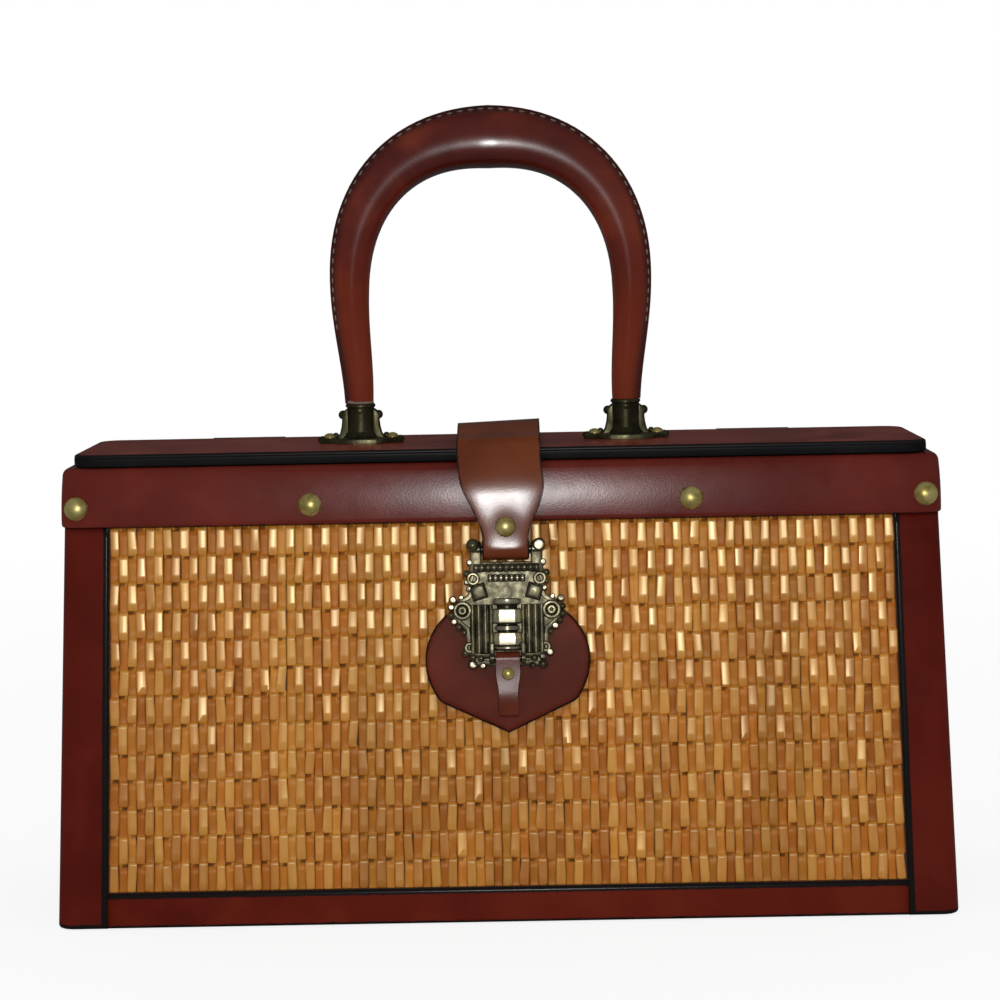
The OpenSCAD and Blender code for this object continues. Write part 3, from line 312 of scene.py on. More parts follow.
# %% Metal, wood, cloth and thread
def metal(name, dull, bright, worn, rough_low, rough_high, patina=0.5, bare=0.7):
    finish, tree, shader, coords = new_finish(name)
    clouds = cloudy(tree, coords, 160, 5, 0.6)
    colour = mix(tree, between(tree, clouds, 0.35, 0.65, 0, 1), dull, bright)
    hollow = attribute(tree, "hollow")
    colour = mix(tree, times(tree, hollow, patina), colour, [c * 0.6 for c in dull])
    colour = mix(tree, times(tree, hollow, -1), colour, worn)
    rough = between(tree, cloudy(tree, coords, 420, 4), 0.3, 0.7, rough_low, rough_high)
    paint(tree, shader, colour, rough)
    shader.inputs["Metallic"].default_value = bare
    bump(tree, shader, cloudy(tree, coords, 700, 3), 0.1, 0.0003)
    return finish


def wood(name, dark, light):
    finish, tree, shader, coords = new_finish(name)
    grain = add(tree, "Mapping", {"Vector": coords, "Scale": (12, 90, 220)}).outputs["Vector"]
    lines = cloudy(tree, grain, 1, 5, 1.2)
    colour = ramp(tree, lines, [(0.3, dark), (0.7, light)])
    paint(tree, shader, colour, between(tree, lines, 0.3, 0.7, 0.55, 0.75))
    bump(tree, shader, lines, 0.2, 0.0003)
    return finish


def cloth(name, dark, light, threads):
    finish, tree, shader, coords = new_finish(name)
    waves = []
    for axis in "XZ":
        inputs = {"Vector": coords, "Scale": threads, "Distortion": 0.6, "Detail": 1}
        waves.append(add(tree, "TexWave", inputs, bands_direction=axis).outputs["Fac"])
    woven = times(tree, *waves)
    shade = plus(tree, times(tree, woven, 0.6), times(tree, cloudy(tree, coords, 40), 0.5))
    colour = ramp(tree, shade, [(0.15, dark), (0.75, light)])
    paint(tree, shader, colour, between(tree, woven, 0, 1, 0.85, 0.7))
    bump(tree, shader, woven, 0.4, 0.0003)
    return finish


nail_brass = metal(
    "nail_brass", (0.5, 0.4, 0.11), (0.88, 0.75, 0.3), (0.94, 0.86, 0.48), 0.3, 0.38, bare=0.84
)
old_brass = metal(
    "old_brass", (0.08, 0.073, 0.044), (0.2, 0.178, 0.105), (0.85, 0.78, 0.56), 0.24, 0.4, 0.85, 0.85
)
mount_brass = metal(
    "mount_brass", (0.05, 0.047, 0.022), (0.11, 0.1, 0.05), (0.8, 0.73, 0.52), 0.3, 0.45, 0.85, 0.85
)
board_wood = wood("board_wood", (0.06, 0.025, 0.01), (0.13, 0.06, 0.025))
lining_cloth = cloth("lining_cloth", (0.2, 0.14, 0.08), (0.36, 0.27, 0.17), 260)
seam_thread = cloth("seam_thread", (0.05, 0.03, 0.025), (0.36, 0.29, 0.22), 900)
print("metal, wood, cloth and thread ready")

# %% [markdown]
# ## Tools for pieces
# A mesh becomes a piece when it gets its object, its finish and the body that it rides on. Most
# leather pieces are a cut sheet that is bent into place, so one helper makes a grid, moves each grid
# point to its place and stores its distance from the cut edge. Solidify then gives the hide thickness,
# and the sheets of the case also share how they are moved and turned to face out.

# %% Helpers for pieces
def make_piece(name, bm, finish, body, stands_for=(), sharp=40):
    mesh = bpy.data.meshes.new(name)
    bm.to_mesh(mesh)
    bm.free()
    mesh.shade_smooth()
    mesh.set_sharp_from_angle(angle=math.radians(sharp))
    mesh.materials.append(finish)
    obj = bpy.data.objects.new(name, mesh)
    bpy.context.scene.collection.objects.link(obj)
    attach(obj, body)
    if stands_for:
        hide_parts(*stands_for)
    print(name, "faces:", len(mesh.polygons), "on", body)
    return obj


def thicken(obj, thickness, offset=-1, round_edge=0):
    wall = obj.modifiers.new("hide thickness", "SOLIDIFY")
    wall.thickness = thickness
    wall.offset = offset
    if round_edge:
        rounding = obj.modifiers.new("edge rounding", "BEVEL")
        rounding.width = round_edge
        rounding.segments = 3
        rounding.limit_method = "ANGLE"
        rounding.angle_limit = math.radians(50)
    return obj


def bent_grid(across, along, place, cut_distance=None, joined=False):
    bm = bmesh.new()
    columns, rows = len(across) - 1, len(along) - 1
    bmesh.ops.create_grid(bm, x_segments=columns, y_segments=rows, size=1)
    edge = bm.verts.layers.float.new("edge")
    for vert in bm.verts:
        s = across[round((vert.co.x + 1) / 2 * columns)]
        t = along[round((vert.co.y + 1) / 2 * rows)]
        vert.co = place(s, t)
        vert[edge] = cut_distance(s, t) if cut_distance else 0.02
    if joined:
        bmesh.ops.remove_doubles(bm, verts=bm.verts, dist=1e-6)
    return bm


def face_out(bm, inside):
    bm.normal_update()
    inside = Vector(inside)
    if sum((f.calc_center_median() - inside).dot(f.normal) * f.calc_area() for f in bm.faces) < 0:
        bmesh.ops.reverse_faces(bm, faces=bm.faces)
    return bm


def moved(bm, matrix):
    bmesh.ops.transform(bm, matrix=matrix, verts=bm.verts)
    return bm


def case_sheet(name, bm, matrix, finish, stands_for, thickness):
    """Moves a sheet to its place on the case, turns it to face out and gives it its thickness."""
    face_out(moved(bm, matrix), CASE_MIDDLE)
    return thicken(make_piece(name, bm, finish, "case", stands_for), thickness)


def flips(x, y):
    return Matrix.Diagonal((x, y, 1, 1))


def steps(low, high, count):
    return [low + (high - low) * k / count for k in range(count + 1)]


EDGE_STEPS = mm(0, 0.15, 0.4, 0.75, 1.2, 2, 3)


def cut_steps(width, count):
    inner = steps(EDGE_STEPS[-1], width - EDGE_STEPS[-1], count)
    return EDGE_STEPS[:-1] + inner + [width - d for d in reversed(EDGE_STEPS[:-1])]


def edge_fall(distance, radius=1.2 * MM, drop=0.9 * MM):
    t = max(0, 1 - distance / radius)
    return drop * (1 - math.sqrt(max(0, 1 - t * t)))


print("piece helpers ready; an edge falls", round(edge_fall(0) / MM, 2), "mm")

# %% [markdown]
# ## The plaited panels
# The front is plaited of flat upright splints, over one row and under the next, so raised floats and
# sunk lengths make a chequer. One grid per splint follows how the cane really lies: a float tucks in
# at its head, stands out at its foot and dives there into a small pit, painted dark as shade, beside
# which a pale fleck of cut cane shows. Floats are painted a little lighter as sheen and sunk lengths a
# little darker as shade. Every length is turned and leant a little, so some catch the light and some don't.

# %% Splints
ROWS, COLUMNS = 13, 89
WEAVE_LOW, WEAVE_TOP = mm(14.36, 155.6)
ROW_PITCH = (WEAVE_TOP - WEAVE_LOW) / ROWS
FLOAT_N, SUNK_N, PIT_N, CREST_LIMIT = mm(-1.12, -1.62, -2.25, -0.66)
FLOAT_W, SUNK_W, CROWN = mm(3.62, 3.56, 0.13)
ACROSS = (-1, -0.72, 0, 0.72, 1)
ROW_STATIONS = (0, 0.03, 0.08, 0.3, 0.6, 0.84, 0.91, 0.97)
SPLINT_T, WEFT_T, WINDOW_GAP = mm(0.3, 0.2, 0.4)
SUNK_DEPTH = 0.03
ROW_RIPPLE, ROW_LOOSE, FOOT_DROP = 0.9 * MM, 0.75, 0.24 * MM
SUNK_PITCH = math.tan(math.radians(2.5))


def window_half(v):
    z = v * math.cos(LEAN)
    return half_w(z) - corner_w(z) - WINDOW_GAP


def row_lines(rng, column, wave):
    lines = []
    for row in range(ROWS + 1):
        ripple = ROW_RIPPLE * noise.noise(Vector((column * 0.06, row * 0.7, wave)))
        loose = 0 if row in (0, ROWS) else rng.uniform(-ROW_LOOSE, ROW_LOOSE) * MM
        lines.append(WEAVE_LOW + row * ROW_PITCH + loose + (ripple if 0 < row < ROWS else 0))
    return lines


def splint_lie(rng, own_tone):
    """How one length of a splint lies: its tone, its turn and lean, and the side of its pale fleck."""
    return {
        "tone": own_tone + rng.gauss(0, 0.15),
        "shift": rng.uniform(-0.18, 0.18) * MM,
        "tilt": math.tan(math.radians(rng.gauss(0, 4.5))),
        "pitch": math.tan(math.radians(rng.gauss(0, 1.2))),
        "flick": abs(rng.gauss(0.16, 0.12)) * MM,
        "slant": math.tan(math.radians(rng.gauss(0, 1.8))),
        "flare": rng.gauss(-0.06, 0.08),
        "width": rng.uniform(0.95, 1.06),
        "fleck": 1 if rng.random() < 0.75 else -1,
        "open": rng.uniform(0.2, 1),
    }


def splint_point(own, on_top, s, f):
    """Offset, height, painted shade and paleness of a splint at s across and f up a row."""
    # dark is painted shade: a float darkens at its head and foot, a sunk length a little all along and most
    # in its pit.
    if on_top:
        foot, head = 1 - smooth_step(0, 0.07, f), smooth_step(0.91, 1, f)
        level = FLOAT_N - FOOT_DROP * foot + (SUNK_N - FLOAT_N) * 0.8 * head
        lie = (1 - foot) * (1 - head)
        level += own["flick"] * lie * (1 - f) ** 2
        width, dark, pale = FLOAT_W * (1 - 0.1 * foot), 0.3 * smooth_step(0.84, 0.96, f) + 0.08 * foot, 0
    else:
        pit = smooth_step(0.83, 0.91, f) * own["open"]
        level = SUNK_N + (PIT_N - SUNK_N) * pit
        lie = 0.6 * (1 - pit) * smooth_step(0, 0.12, f)
        pale = pit * smooth_step(0.1, 1, s * own["fleck"])
        width, dark = SUNK_W, 0.06 + pit * (0.85 - 0.85 * smooth_step(-0.1, 0.8, s * own["fleck"]))
    width *= own["width"] * (1 + own["flare"] * (f - 0.5))
    u = s * width / 2 + own["shift"] * lie + own["slant"] * lie * (f - 0.5) * ROW_PITCH
    pitch = own["pitch"] + (0 if on_top else SUNK_PITCH)
    swell = (CROWN if on_top else CROWN / 3) * abs(s) ** 2.5
    n = level - swell + lie * (own["tilt"] * s * width / 2 + pitch * (f - 0.5) * ROW_PITCH)
    return u, min(n, CREST_LIMIT), dark, pale


def splint_panel(seed):
    rng = random.Random(seed)
    bm = bmesh.new()
    tone, depth, hue, side = [bm.verts.layers.float.new(name) for name in ("tone", "depth", "hue", "side")]
    per_row, spans = len(ROW_STATIONS), len(ACROSS) - 1
    for column in range(COLUMNS):
        grid = bmesh.ops.create_grid(bm, x_segments=spans, y_segments=ROWS * per_row, size=1)["verts"]
        lines = row_lines(rng, column, seed)
        own_tone, own_hue = rng.gauss(0.48, 0.14), max(0, rng.gauss(0.05, 0.25))
        lies = [splint_lie(rng, own_tone) for row in range(ROWS)]
        for vert in grid:
            s = ACROSS[round((vert.co.x + 1) / 2 * spans)]
            row, step = divmod(round((vert.co.y + 1) / 2 * ROWS * per_row), per_row)
            row, f = (row, ROW_STATIONS[step]) if row < ROWS else (ROWS - 1, 1)
            on_top = (column + row) % 2 == 0
            v = lines[row] + (lines[row + 1] - lines[row]) * f
            u, n, dark, pale = splint_point(lies[row], on_top, s, f)
            drift = 0.3 * MM * noise.noise(Vector((column * 3.1, v * 14, seed + 5)))
            vert.co = (((column + 0.5) / COLUMNS * 2 - 1) * window_half(v) + drift + u, v, n)
            # Floats are painted lighter and sunk lengths darker than the splint's own tone: a painted sheen
            # and a painted shade.
            vert[tone] = lies[row]["tone"] + pale * 1.1 + (0.3 if on_top else -0.16)
            # The depth attribute carries this painted shade to the cane finish.
            vert[depth], vert[side], vert[hue] = dark, s, min(own_hue, 0.8) * (1 - pale)
    for face in bm.faces:
        face.material_index = 1 if min(vert[depth] for vert in face.verts) > SUNK_DEPTH else 0
    return bm


for side, slope, seed in (("front", FRONT, 3), ("back", BACK, 8)):
    splints = case_sheet(
        f"{side}_splints", splint_panel(seed), slope, splint_cane, [f"{side}_weave"], SPLINT_T
    )
    splints.data.materials.append(sunk_cane)

# %% [markdown]
# Behind the splints run thin cross canes, one at each change of row. Only slivers of them show in the
# gaps, so each is a shallow bent strip of few faces.

# %% Cross canes
WEFT_H, WEFT_N, WEFT_RIPPLE, WEFT_SAG = mm(2.4, -2.75, 0.4, 0.25)


def weft_rows(seed):
    rng = random.Random(seed)
    bm = bmesh.new()
    tone = bm.verts.layers.float.new("tone")
    for row in range(1, ROWS):
        grid = bmesh.ops.create_grid(bm, x_segments=COLUMNS, y_segments=2, size=1)["verts"]
        row_tone = rng.uniform(0.5, 1)
        for vert in grid:
            v = WEAVE_LOW + row * ROW_PITCH + vert.co.y * WEFT_H / 2
            ripple = WEFT_RIPPLE * noise.noise(Vector((vert.co.x * 6, row, seed)))
            vert.co = (vert.co.x * window_half(v), v + ripple, WEFT_N - WEFT_SAG * vert.co.y**2)
            vert[tone] = row_tone
    return bm


for side, slope, seed in (("front", FRONT, 13), ("back", BACK, 18)):
    case_sheet(f"{side}_cross_canes", weft_rows(seed), slope, weft_cane, (), WEFT_T)

# %% [markdown]
# ## Leather trim of the case
# A corner strip is one strip of hide, bent round the corner, with rounded and black-dyed edges. It is
# made flat as a grid and bent by walking along its developed width: the front run, the quarter turn
# and the return on the end. Mirroring gives the other three.

# %% Corner strips
STRIP_HIDE_T = 2.4 * MM
CORNER_ARC = CORNER_R * math.pi / 2
CORNER_TURN = CORNER_FOOT_W - CORNER_R
CORNER_FULL = CORNER_TURN + CORNER_ARC + CORNER_RETURN - CORNER_R


def corner_cut(s, z):
    return min(s, CORNER_FULL - s, (z - STRIP_LIFT) + 0.9 * MM)


def corner_place(s, z):
    x, y = half_w(z), -half_d(z)
    fall = edge_fall(min(s, CORNER_FULL - s, z - STRIP_LIFT))
    if s < CORNER_TURN:
        run = (corner_w(z) - CORNER_R) * (1 - s / CORNER_TURN)
        return Vector((x - CORNER_R - run, y + fall, z))
    if s < CORNER_TURN + CORNER_ARC:
        a = (s - CORNER_TURN) / CORNER_R - math.pi / 2
        r = CORNER_R - fall
        return Vector((x - CORNER_R + r * math.cos(a), y + CORNER_R + r * math.sin(a), z))
    return Vector((x - fall, y + CORNER_R + s - CORNER_TURN - CORNER_ARC, z))


corner_across = cut_steps(CORNER_FULL, 18)
corner_up = [STRIP_LIFT + d for d in EDGE_STEPS[:-1]] + steps(STRIP_LIFT + 3 * MM, BAND_Z - 0.1 * MM, 40)
for depth_name, flip_y in (("front", 1), ("back", -1)):
    for side, flip_x in (("right", 1), ("left", -1)):
        sheet, turn = bent_grid(corner_across, corner_up, corner_place, corner_cut), flips(flip_x, flip_y)
        name = f"{depth_name}_{side}_corner_strip"
        case_sheet(f"{name}_hide", sheet, turn, hides["trim"], [name], STRIP_HIDE_T)

# %% [markdown]
# The bottom strips lie a little behind the corner strips, which run over their ends. The end panels
# are plain hide between the returns of the corner strips. Both are the same bent sheet.

# %% Bottom strips and end panels
BOTTOM_HALF, BOTTOM_HIDE_H = half_w(0) - CORNER_FOOT_W - 0.1 * MM, BOTTOM_STRIP_H - STRIP_LIFT
END_HIDE_INSET = 0.5 * MM


def bottom_place(s, x):
    z = STRIP_LIFT + s
    fall = edge_fall(BOTTOM_HIDE_H - s) + edge_fall(s)
    return Vector((x, -half_d(z) + (BOTTOM_STRIP_STEP + fall) / math.cos(LEAN), z))


def bottom_cut(s, x):
    return min(BOTTOM_HIDE_H - s, s + 0.9 * MM) + 0.6 * MM


def end_place(s, z):
    return Vector((half_w(z) - END_HIDE_INSET, s * (half_d(z) - CORNER_RETURN - 0.1 * MM), z))


for side, flip in (("front", 1), ("back", -1)):
    along = steps(-BOTTOM_HALF, BOTTOM_HALF, 60)
    sheet = bent_grid(cut_steps(BOTTOM_HIDE_H, 5), along, bottom_place, bottom_cut)
    name, node = f"{side}_bottom_hide", f"{side}_bottom_strip"
    case_sheet(name, sheet, flips(flip, flip), hides["foot"], [node], STRIP_HIDE_T)
for side, flip in (("right", 1), ("left", -1)):
    sheet = bent_grid(steps(-1, 1, 24), steps(STRIP_LIFT, BAND_Z - 0.1 * MM, 40), end_place)
    name, node = f"{side}_end_hide", f"{side}_end_leather"
    case_sheet(name, sheet, flips(flip, 1), hides["trim"], [node], STRIP_HIDE_T)

# %% [markdown]
# The rim band goes round the top of the case as one strip, stands proud of the strips, and rolls over
# the rim to the inside. Its cross section is walked from the cut lower edge, up the wall, round the
# roll and over the boards, while the plan is a rectangle with round corners, closed at a seam.

# %% Rim band
BAND_HIDE_T, BAND_SWELL, BAND_IN, BAND_PLAN_R = mm(1.5, 0.45, 7.1, 7)
band_wall = BAND_H - BAND_ROUND
band_roll = BAND_ROUND * math.pi / 2
band_full = band_wall + band_roll + BAND_IN + BAND_PROUD - BAND_ROUND


def band_section(s):
    swell = BAND_SWELL * (1 - ((min(s / band_wall, 1) - 0.5) / 0.62) ** 2)
    if s < band_wall:
        return BAND_Z + s, BAND_PROUD + swell - edge_fall(s)
    if s < band_wall + band_roll:
        a = (s - band_wall) / BAND_ROUND
        return CASE_H - BAND_ROUND * (1 - math.sin(a)), BAND_PROUD + swell - BAND_ROUND * (1 - math.cos(a))
    return CASE_H, BAND_PROUD + swell - BAND_ROUND - (s - band_wall - band_roll)


def round_plan(x, y, r, t):
    """A point on a rectangle with round corners: t runs 0 to 4, a side and a corner for each quarter."""
    quarter, share = int(t) % 4, t - int(t)
    if quarter % 2:
        x, y = y, x
    if share < 0.5:
        p, q = 4 * share * (x - r) - (x - r), -y
    else:
        a = (share - 0.5) * math.pi - math.pi / 2
        p, q = x - r + r * math.cos(a), r - y + r * math.sin(a)
    for _ in range(quarter):
        p, q = -q, p
    return p, q


def band_place(s, t):
    z, n = band_section(s)
    x, y = half_w(z) + n, half_d(z) + n / math.cos(LEAN)
    r = max(BAND_PLAN_R + n, 0.5 * MM)
    return Vector((*round_plan(x, y, r, t), z))


plan_steps = []
for quarter in range(4):
    plan_steps += [quarter + share for share in steps(0, 0.5, 40)[:-1] + steps(0.5, 1, 8)[:-1]]
plan_steps.append(4)
band_across = EDGE_STEPS + steps(4.5 * MM, band_wall, 8) + steps(band_wall, band_wall + band_roll, 8)[1:]
band_across += steps(band_wall + band_roll, band_full, 4)[1:]
bm = bent_grid(band_across, plan_steps, band_place, lambda s, t: s + 0.7 * MM, joined=True)
face_out(bm, (0, 0, CASE_H - BAND_H / 2))
thicken(make_piece("rim_band_hide", bm, hides["band"], "case", ["rim_band"]), BAND_HIDE_T)

# %% [markdown]
# ## Lid
# The lid is a flat board: leather on top, its edge bound in black. Both follow the same plan with round
# corners, and a list of insets and heights gives the section of each. The cover is then closed by one
# flat face above and one below.

# %% Lid cover and binding
LID_HALF_W, LID_HALF_D, LID_R = mm(167, 40, 9)
LID_LOW, LID_COVER_LOW, LID_TOP = mm(177.8, 181.3, 182.7)
COVER_IN = mm(0.35, 0.3, 0.3, 0.3, 0.5, 0.9, 1.5, 2.6, 4)
COVER_Z = [LID_COVER_LOW + d for d in mm(0, 0.1, 0.35, 0.6, 0.95, 1.2, 1.33, 1.4, 1.4)]
COVER_DYE = mm(1.6, 1.6, 1.6, 1.6, 1.6, 1.6, 2.2, 20, 20)
BIND_IN = mm(3, 0.9, 0.35, 0.2, 0.2, 0.2, 0.3, 3)
BIND_Z = [LID_LOW + d for d in mm(0, 0, 0.25, 0.8, 2.6, 3.1, 3.4, 3.4)]
BIND_T = 0.6 * MM


def lid_ring(insets, heights, cut_distance):
    def place(s, t):
        x, y, r = [full - insets[s] for full in (LID_HALF_W, LID_HALF_D, LID_R)]
        return Vector((*round_plan(x, y, r, t), heights[s]))

    return bent_grid(list(range(len(insets))), plan_steps, place, cut_distance, joined=True)


bm = lid_ring(COVER_IN, COVER_Z, lambda s, t: COVER_DYE[s])
rims = [e for e in bm.edges if e.is_boundary]
for above in (True, False):
    rim = [e for e in rims if (e.verts[0].co.z > LID_TOP - 0.1 * MM) == above]
    bmesh.ops.contextual_create(bm, geom=rim)
bmesh.ops.recalc_face_normals(bm, faces=bm.faces)
make_piece("lid_cover_hide", bm, hides["lid"], "lid", ["lid_cover"])
bm = face_out(lid_ring(BIND_IN, BIND_Z, lambda s, t: 0), (0, 0, LID_LOW))
binding = make_piece("lid_binding_hide", bm, hides["edge"], "lid", ["lid_edge_binding"])
thicken(binding, BIND_T)

# %% [markdown]
# ## Strap
# The strap is a thick tongue of hide: riveted at the back of the lid, arched over its middle, bent over
# the rim and tapered to a loop round the bar of the clasp. A grid is swept along that path. The arch
# leans a little to one side, the front is pulled in round the rivet, and both edges are dyed black.

# %% Strap path
STRAP_W, STRAP_END_W, STRAP_T = mm(32.5, 18, 2.2)
STRAP_REAR_Y, STRAP_FLAT, STRAP_ARCH, STRAP_Z = mm(34, 12, 5, 183.9)
BEND_R, BEND_LIFT, LOOP_R, STRAP_GRIP = mm(9, 2, 2.9, 3)
RIM_V = CASE_H / math.cos(LEAN)
BAR_V, BAR_N = RIM_V - 34.3 * MM, 3.8 * MM
FLAT_V, BELLY = 165 * MM, math.radians(14)
STRAP_RIVET_V, STRAP_RETURN = BAR_V + 8.6 * MM, 13 * MM
TAPER_TOP_Z, TAPER_LOW_V = 171 * MM, BAR_V + 5 * MM
REAR_N, ARCH_N, BEND_N, HANG_N = 5, 40, 14, 30


def on_front(v, n):
    p = FRONT @ Vector((0, v, n))
    return Vector((p.y, p.z))


bend_z = STRAP_Z + BEND_LIFT - BEND_R
bend_v = bend_z / math.cos(LEAN) + BEND_R * math.sin(LEAN + BELLY)


def strap_front_n(v):
    """Parallel to the wall below FLAT_V, and drawn in toward the lid above it."""
    return BAR_N + LOOP_R - BELLY / 2 * max(0, v - FLAT_V) ** 2 / (bend_v - FLAT_V)


bend_y = on_front(bend_v, strap_front_n(bend_v)).x + BEND_R * math.cos(LEAN + BELLY)


def strap_line():
    y0 = STRAP_REAR_Y - STRAP_FLAT
    line = [Vector((STRAP_REAR_Y - d, STRAP_Z)) for d in steps(0, STRAP_FLAT, REAR_N)[:-1]]
    for s in steps(0, 1, ARCH_N)[:-1]:
        rise = STRAP_ARCH * math.sin(math.pi * s) ** 2 + BEND_LIFT * smooth_step(0, 1, s)
        line.append(Vector((y0 + (bend_y - y0) * s, STRAP_Z + rise)))
    for s in steps(0, 1, BEND_N):
        a = math.pi / 2 + (math.pi / 2 - LEAN - BELLY) * s
        line.append(Vector((bend_y + BEND_R * math.cos(a), bend_z + BEND_R * math.sin(a))))
    for v in steps(bend_v, BAR_V, HANG_N)[1:-1]:
        line.append(on_front(v, strap_front_n(v)))
    for a in steps(0, math.pi, 14):
        line.append(on_front(BAR_V - LOOP_R * math.sin(a), BAR_N + LOOP_R * math.cos(a)))
    grip_v = STRAP_RIVET_V - STRAP_GRIP
    back_n = strap_front_n(grip_v) - STRAP_T - 0.1 * MM
    for s in steps(0, 1, 12)[1:]:
        n = BAR_N - LOOP_R
        line.append(on_front(BAR_V + (grip_v - BAR_V) * s, n + (back_n - n) * smooth_step(0, 1, s)))
    for v in (STRAP_RIVET_V, BAR_V + STRAP_RETURN):
        line.append(on_front(v, strap_front_n(v) - STRAP_T - 0.1 * MM))
    return line


strap_points = strap_line()
strap_length = sum((b - a).length for a, b in zip(strap_points, strap_points[1:]))
print("strap length:", round(strap_length / MM, 1), "mm")

# %% Strap
TAPER_LOW_Z = on_front(TAPER_LOW_V, 0).y
STRAP_LEAN, DIMPLE, DIMPLE_R, STRAP_SWAY, EDGE_CURL = mm(0.8, 0.4, 5, 2.2, 0.35)
HANG_FROM = REAR_N + ARCH_N + BEND_N + 1
HANG_TO = HANG_FROM + HANG_N - 1
strap_across = [s / (STRAP_W / 2) - 1 for s in cut_steps(STRAP_W, 14)]


def line_normal(line, k):
    d = (line[min(k + 1, len(line) - 1)] - line[max(k - 1, 0)]).normalized()
    return Vector((-d.y, d.x))


def strap_half(z):
    share = min(max((TAPER_TOP_Z - z) / (TAPER_TOP_Z - TAPER_LOW_Z), 0), 1)
    share = 0.85 * smooth_step(0, 1, share) + 0.15 * share
    return (STRAP_W + (STRAP_END_W - STRAP_W) * share) / 2


def strap_place(s, k):
    p, out = strap_points[k], -line_normal(strap_points, k)
    x = s * strap_half(p.y)
    lift = 0
    if REAR_N <= k < HANG_FROM:
        lift = STRAP_LEAN * s * math.sin(math.pi * (k - REAR_N) / (HANG_FROM - REAR_N)) ** 2
    if HANG_FROM <= k < HANG_TO:
        rivet = on_front(STRAP_RIVET_V, strap_front_n(STRAP_RIVET_V))
        apart = math.hypot(x, (p - rivet).length)
        curl = EDGE_CURL * s**4 * smooth_step(HANG_FROM, HANG_FROM + 10, k)
        lift = -DIMPLE * math.exp(-((apart / DIMPLE_R) ** 2)) + curl
    p = p + out * lift
    sway = STRAP_SWAY * smooth_step(*mm(158, 182), p.y)
    return Vector((x + CLASP_X - sway, p.x, p.y))


def strap_cut(s, k):
    return (1 - abs(s)) * strap_half(strap_points[k].y)


bm = bent_grid(strap_across, list(range(len(strap_points))), strap_place, strap_cut)
strap = make_piece("strap_hide", bm, hides["strap"], "lid", ["strap"])
thicken(strap, STRAP_T - 0.1 * MM, 0, 0.5 * MM)

# %% [markdown]
# ## Clasp patch
# Under the clasp lies a patch of the same hide, shaped like a broad shield. A circle is scaled to its
# two heights and its lowest points are drawn out to a tip, then insets step in from the cut edge and up
# to the flat, which rounds the edge.

# %% Patch
PATCH_V, PATCH_N, PATCH_T = BAR_V - 42.5 * MM, -0.55 * MM, 1.9 * MM
PATCH_HALF_W, PATCH_TOP, PATCH_LOW, PATCH_TIP = mm(32, 26, 28.5, 28.5)
PATCH_TURN = math.asin(0.575)

bm = bmesh.new()
edge_layer = bm.verts.layers.float.new("edge")
bmesh.ops.create_circle(bm, cap_ends=True, segments=96, radius=1)
for vert in bm.verts:
    a = math.atan2(vert.co.y, vert.co.x)
    if a < -PATCH_TURN and a > PATCH_TURN - math.pi:
        side = 1 if vert.co.x > 0 else -1
        share = abs(a + math.pi / 2) / (math.pi / 2 - PATCH_TURN)
        foot = Vector((PATCH_HALF_W * math.cos(PATCH_TURN), -PATCH_LOW * math.sin(PATCH_TURN)))
        vert.co.x, vert.co.y = side * foot.x * share, -PATCH_TIP + (foot.y + PATCH_TIP) * share
    else:
        vert.co.x *= PATCH_HALF_W
        vert.co.y *= PATCH_TOP if a > 0 else PATCH_LOW
face = next(iter(bm.faces))
lower = bmesh.ops.extrude_face_region(bm, geom=[face])["geom"]
risen = [g for g in lower if isinstance(g, bmesh.types.BMVert)]
bmesh.ops.translate(bm, vec=(0, 0, PATCH_T - 0.55 * MM), verts=risen)
top = next(g for g in lower if isinstance(g, bmesh.types.BMFace))
reach = 0
for step_in, rise in (mm(0.25, 0.28), mm(0.35, 0.17), mm(0.6, 0.1), mm(1.2, 0)):
    bmesh.ops.inset_region(bm, faces=[top], thickness=step_in, depth=rise, use_even_offset=True)
    reach += step_in
    for vert in top.verts:
        vert[edge_layer] = reach
moved(moved(bm, Matrix.Translation((0, PATCH_V, PATCH_N))), CLASP)
bmesh.ops.recalc_face_normals(bm, faces=bm.faces)
make_piece("clasp_patch_hide", bm, hides["patch"], "case", ["clasp_patch"])

# %% [markdown]
# ## Nails and rivets
# Every nail and rivet is a pressed dome with a thin rim. A profile of a few points is spun once round
# its axis, and the whole set of one kind becomes one piece, like the CAD node it stands for.

# %% Domes by spinning a profile
def spun_part(profile, matrix, sides=28, hollow=None):
    """Spins points (radius, height) once round Z, then moves the result with the matrix."""
    part = bmesh.new()
    layer = part.verts.layers.float.new("hollow")
    verts = [part.verts.new((r, 0, h)) for r, h in profile]
    edges = [part.edges.new(pair) for pair in zip(verts, verts[1:])]
    for vert, value in zip(verts, hollow or [0] * len(verts)):
        vert[layer] = value
    bmesh.ops.spin(
        part, geom=verts + edges, cent=(0, 0, 0), axis=(0, 0, 1), angle=2 * math.pi,
        steps=sides, use_merge=True, use_duplicate=False,
    )
    bmesh.ops.remove_doubles(part, verts=part.verts, dist=1e-6)
    bmesh.ops.recalc_face_normals(part, faces=part.faces)
    return moved(part, matrix)


def gather(parts):
    whole = bmesh.new()
    for part in parts:
        spare = bpy.data.meshes.new("spare")
        part.to_mesh(spare)
        part.free()
        whole.from_mesh(spare)
        bpy.data.meshes.remove(spare)
    return whole


def dome(r, h):
    rim = 0.1 * h
    arc = [(r * 0.97 * math.cos(a), rim + (h - rim) * math.sin(a)) for a in steps(0.12, math.pi / 2, 9)]
    return [(0, 0), (0.94 * r, 0), (r, 0.35 * rim), (r, 0.9 * rim)] + arc[:-1] + [(0, h)]


DOME_HOLLOW = [0, 0.6, 0.9, 0.8, 0.35] + [0] * 9


def nail_set(name, node, body, places, r, h, finish=nail_brass, slot="brass"):
    parts = [spun_part(dome(r, h), place, hollow=DOME_HOLLOW) for place in places]
    return make_piece(name, gather(parts), finish, body, [node])


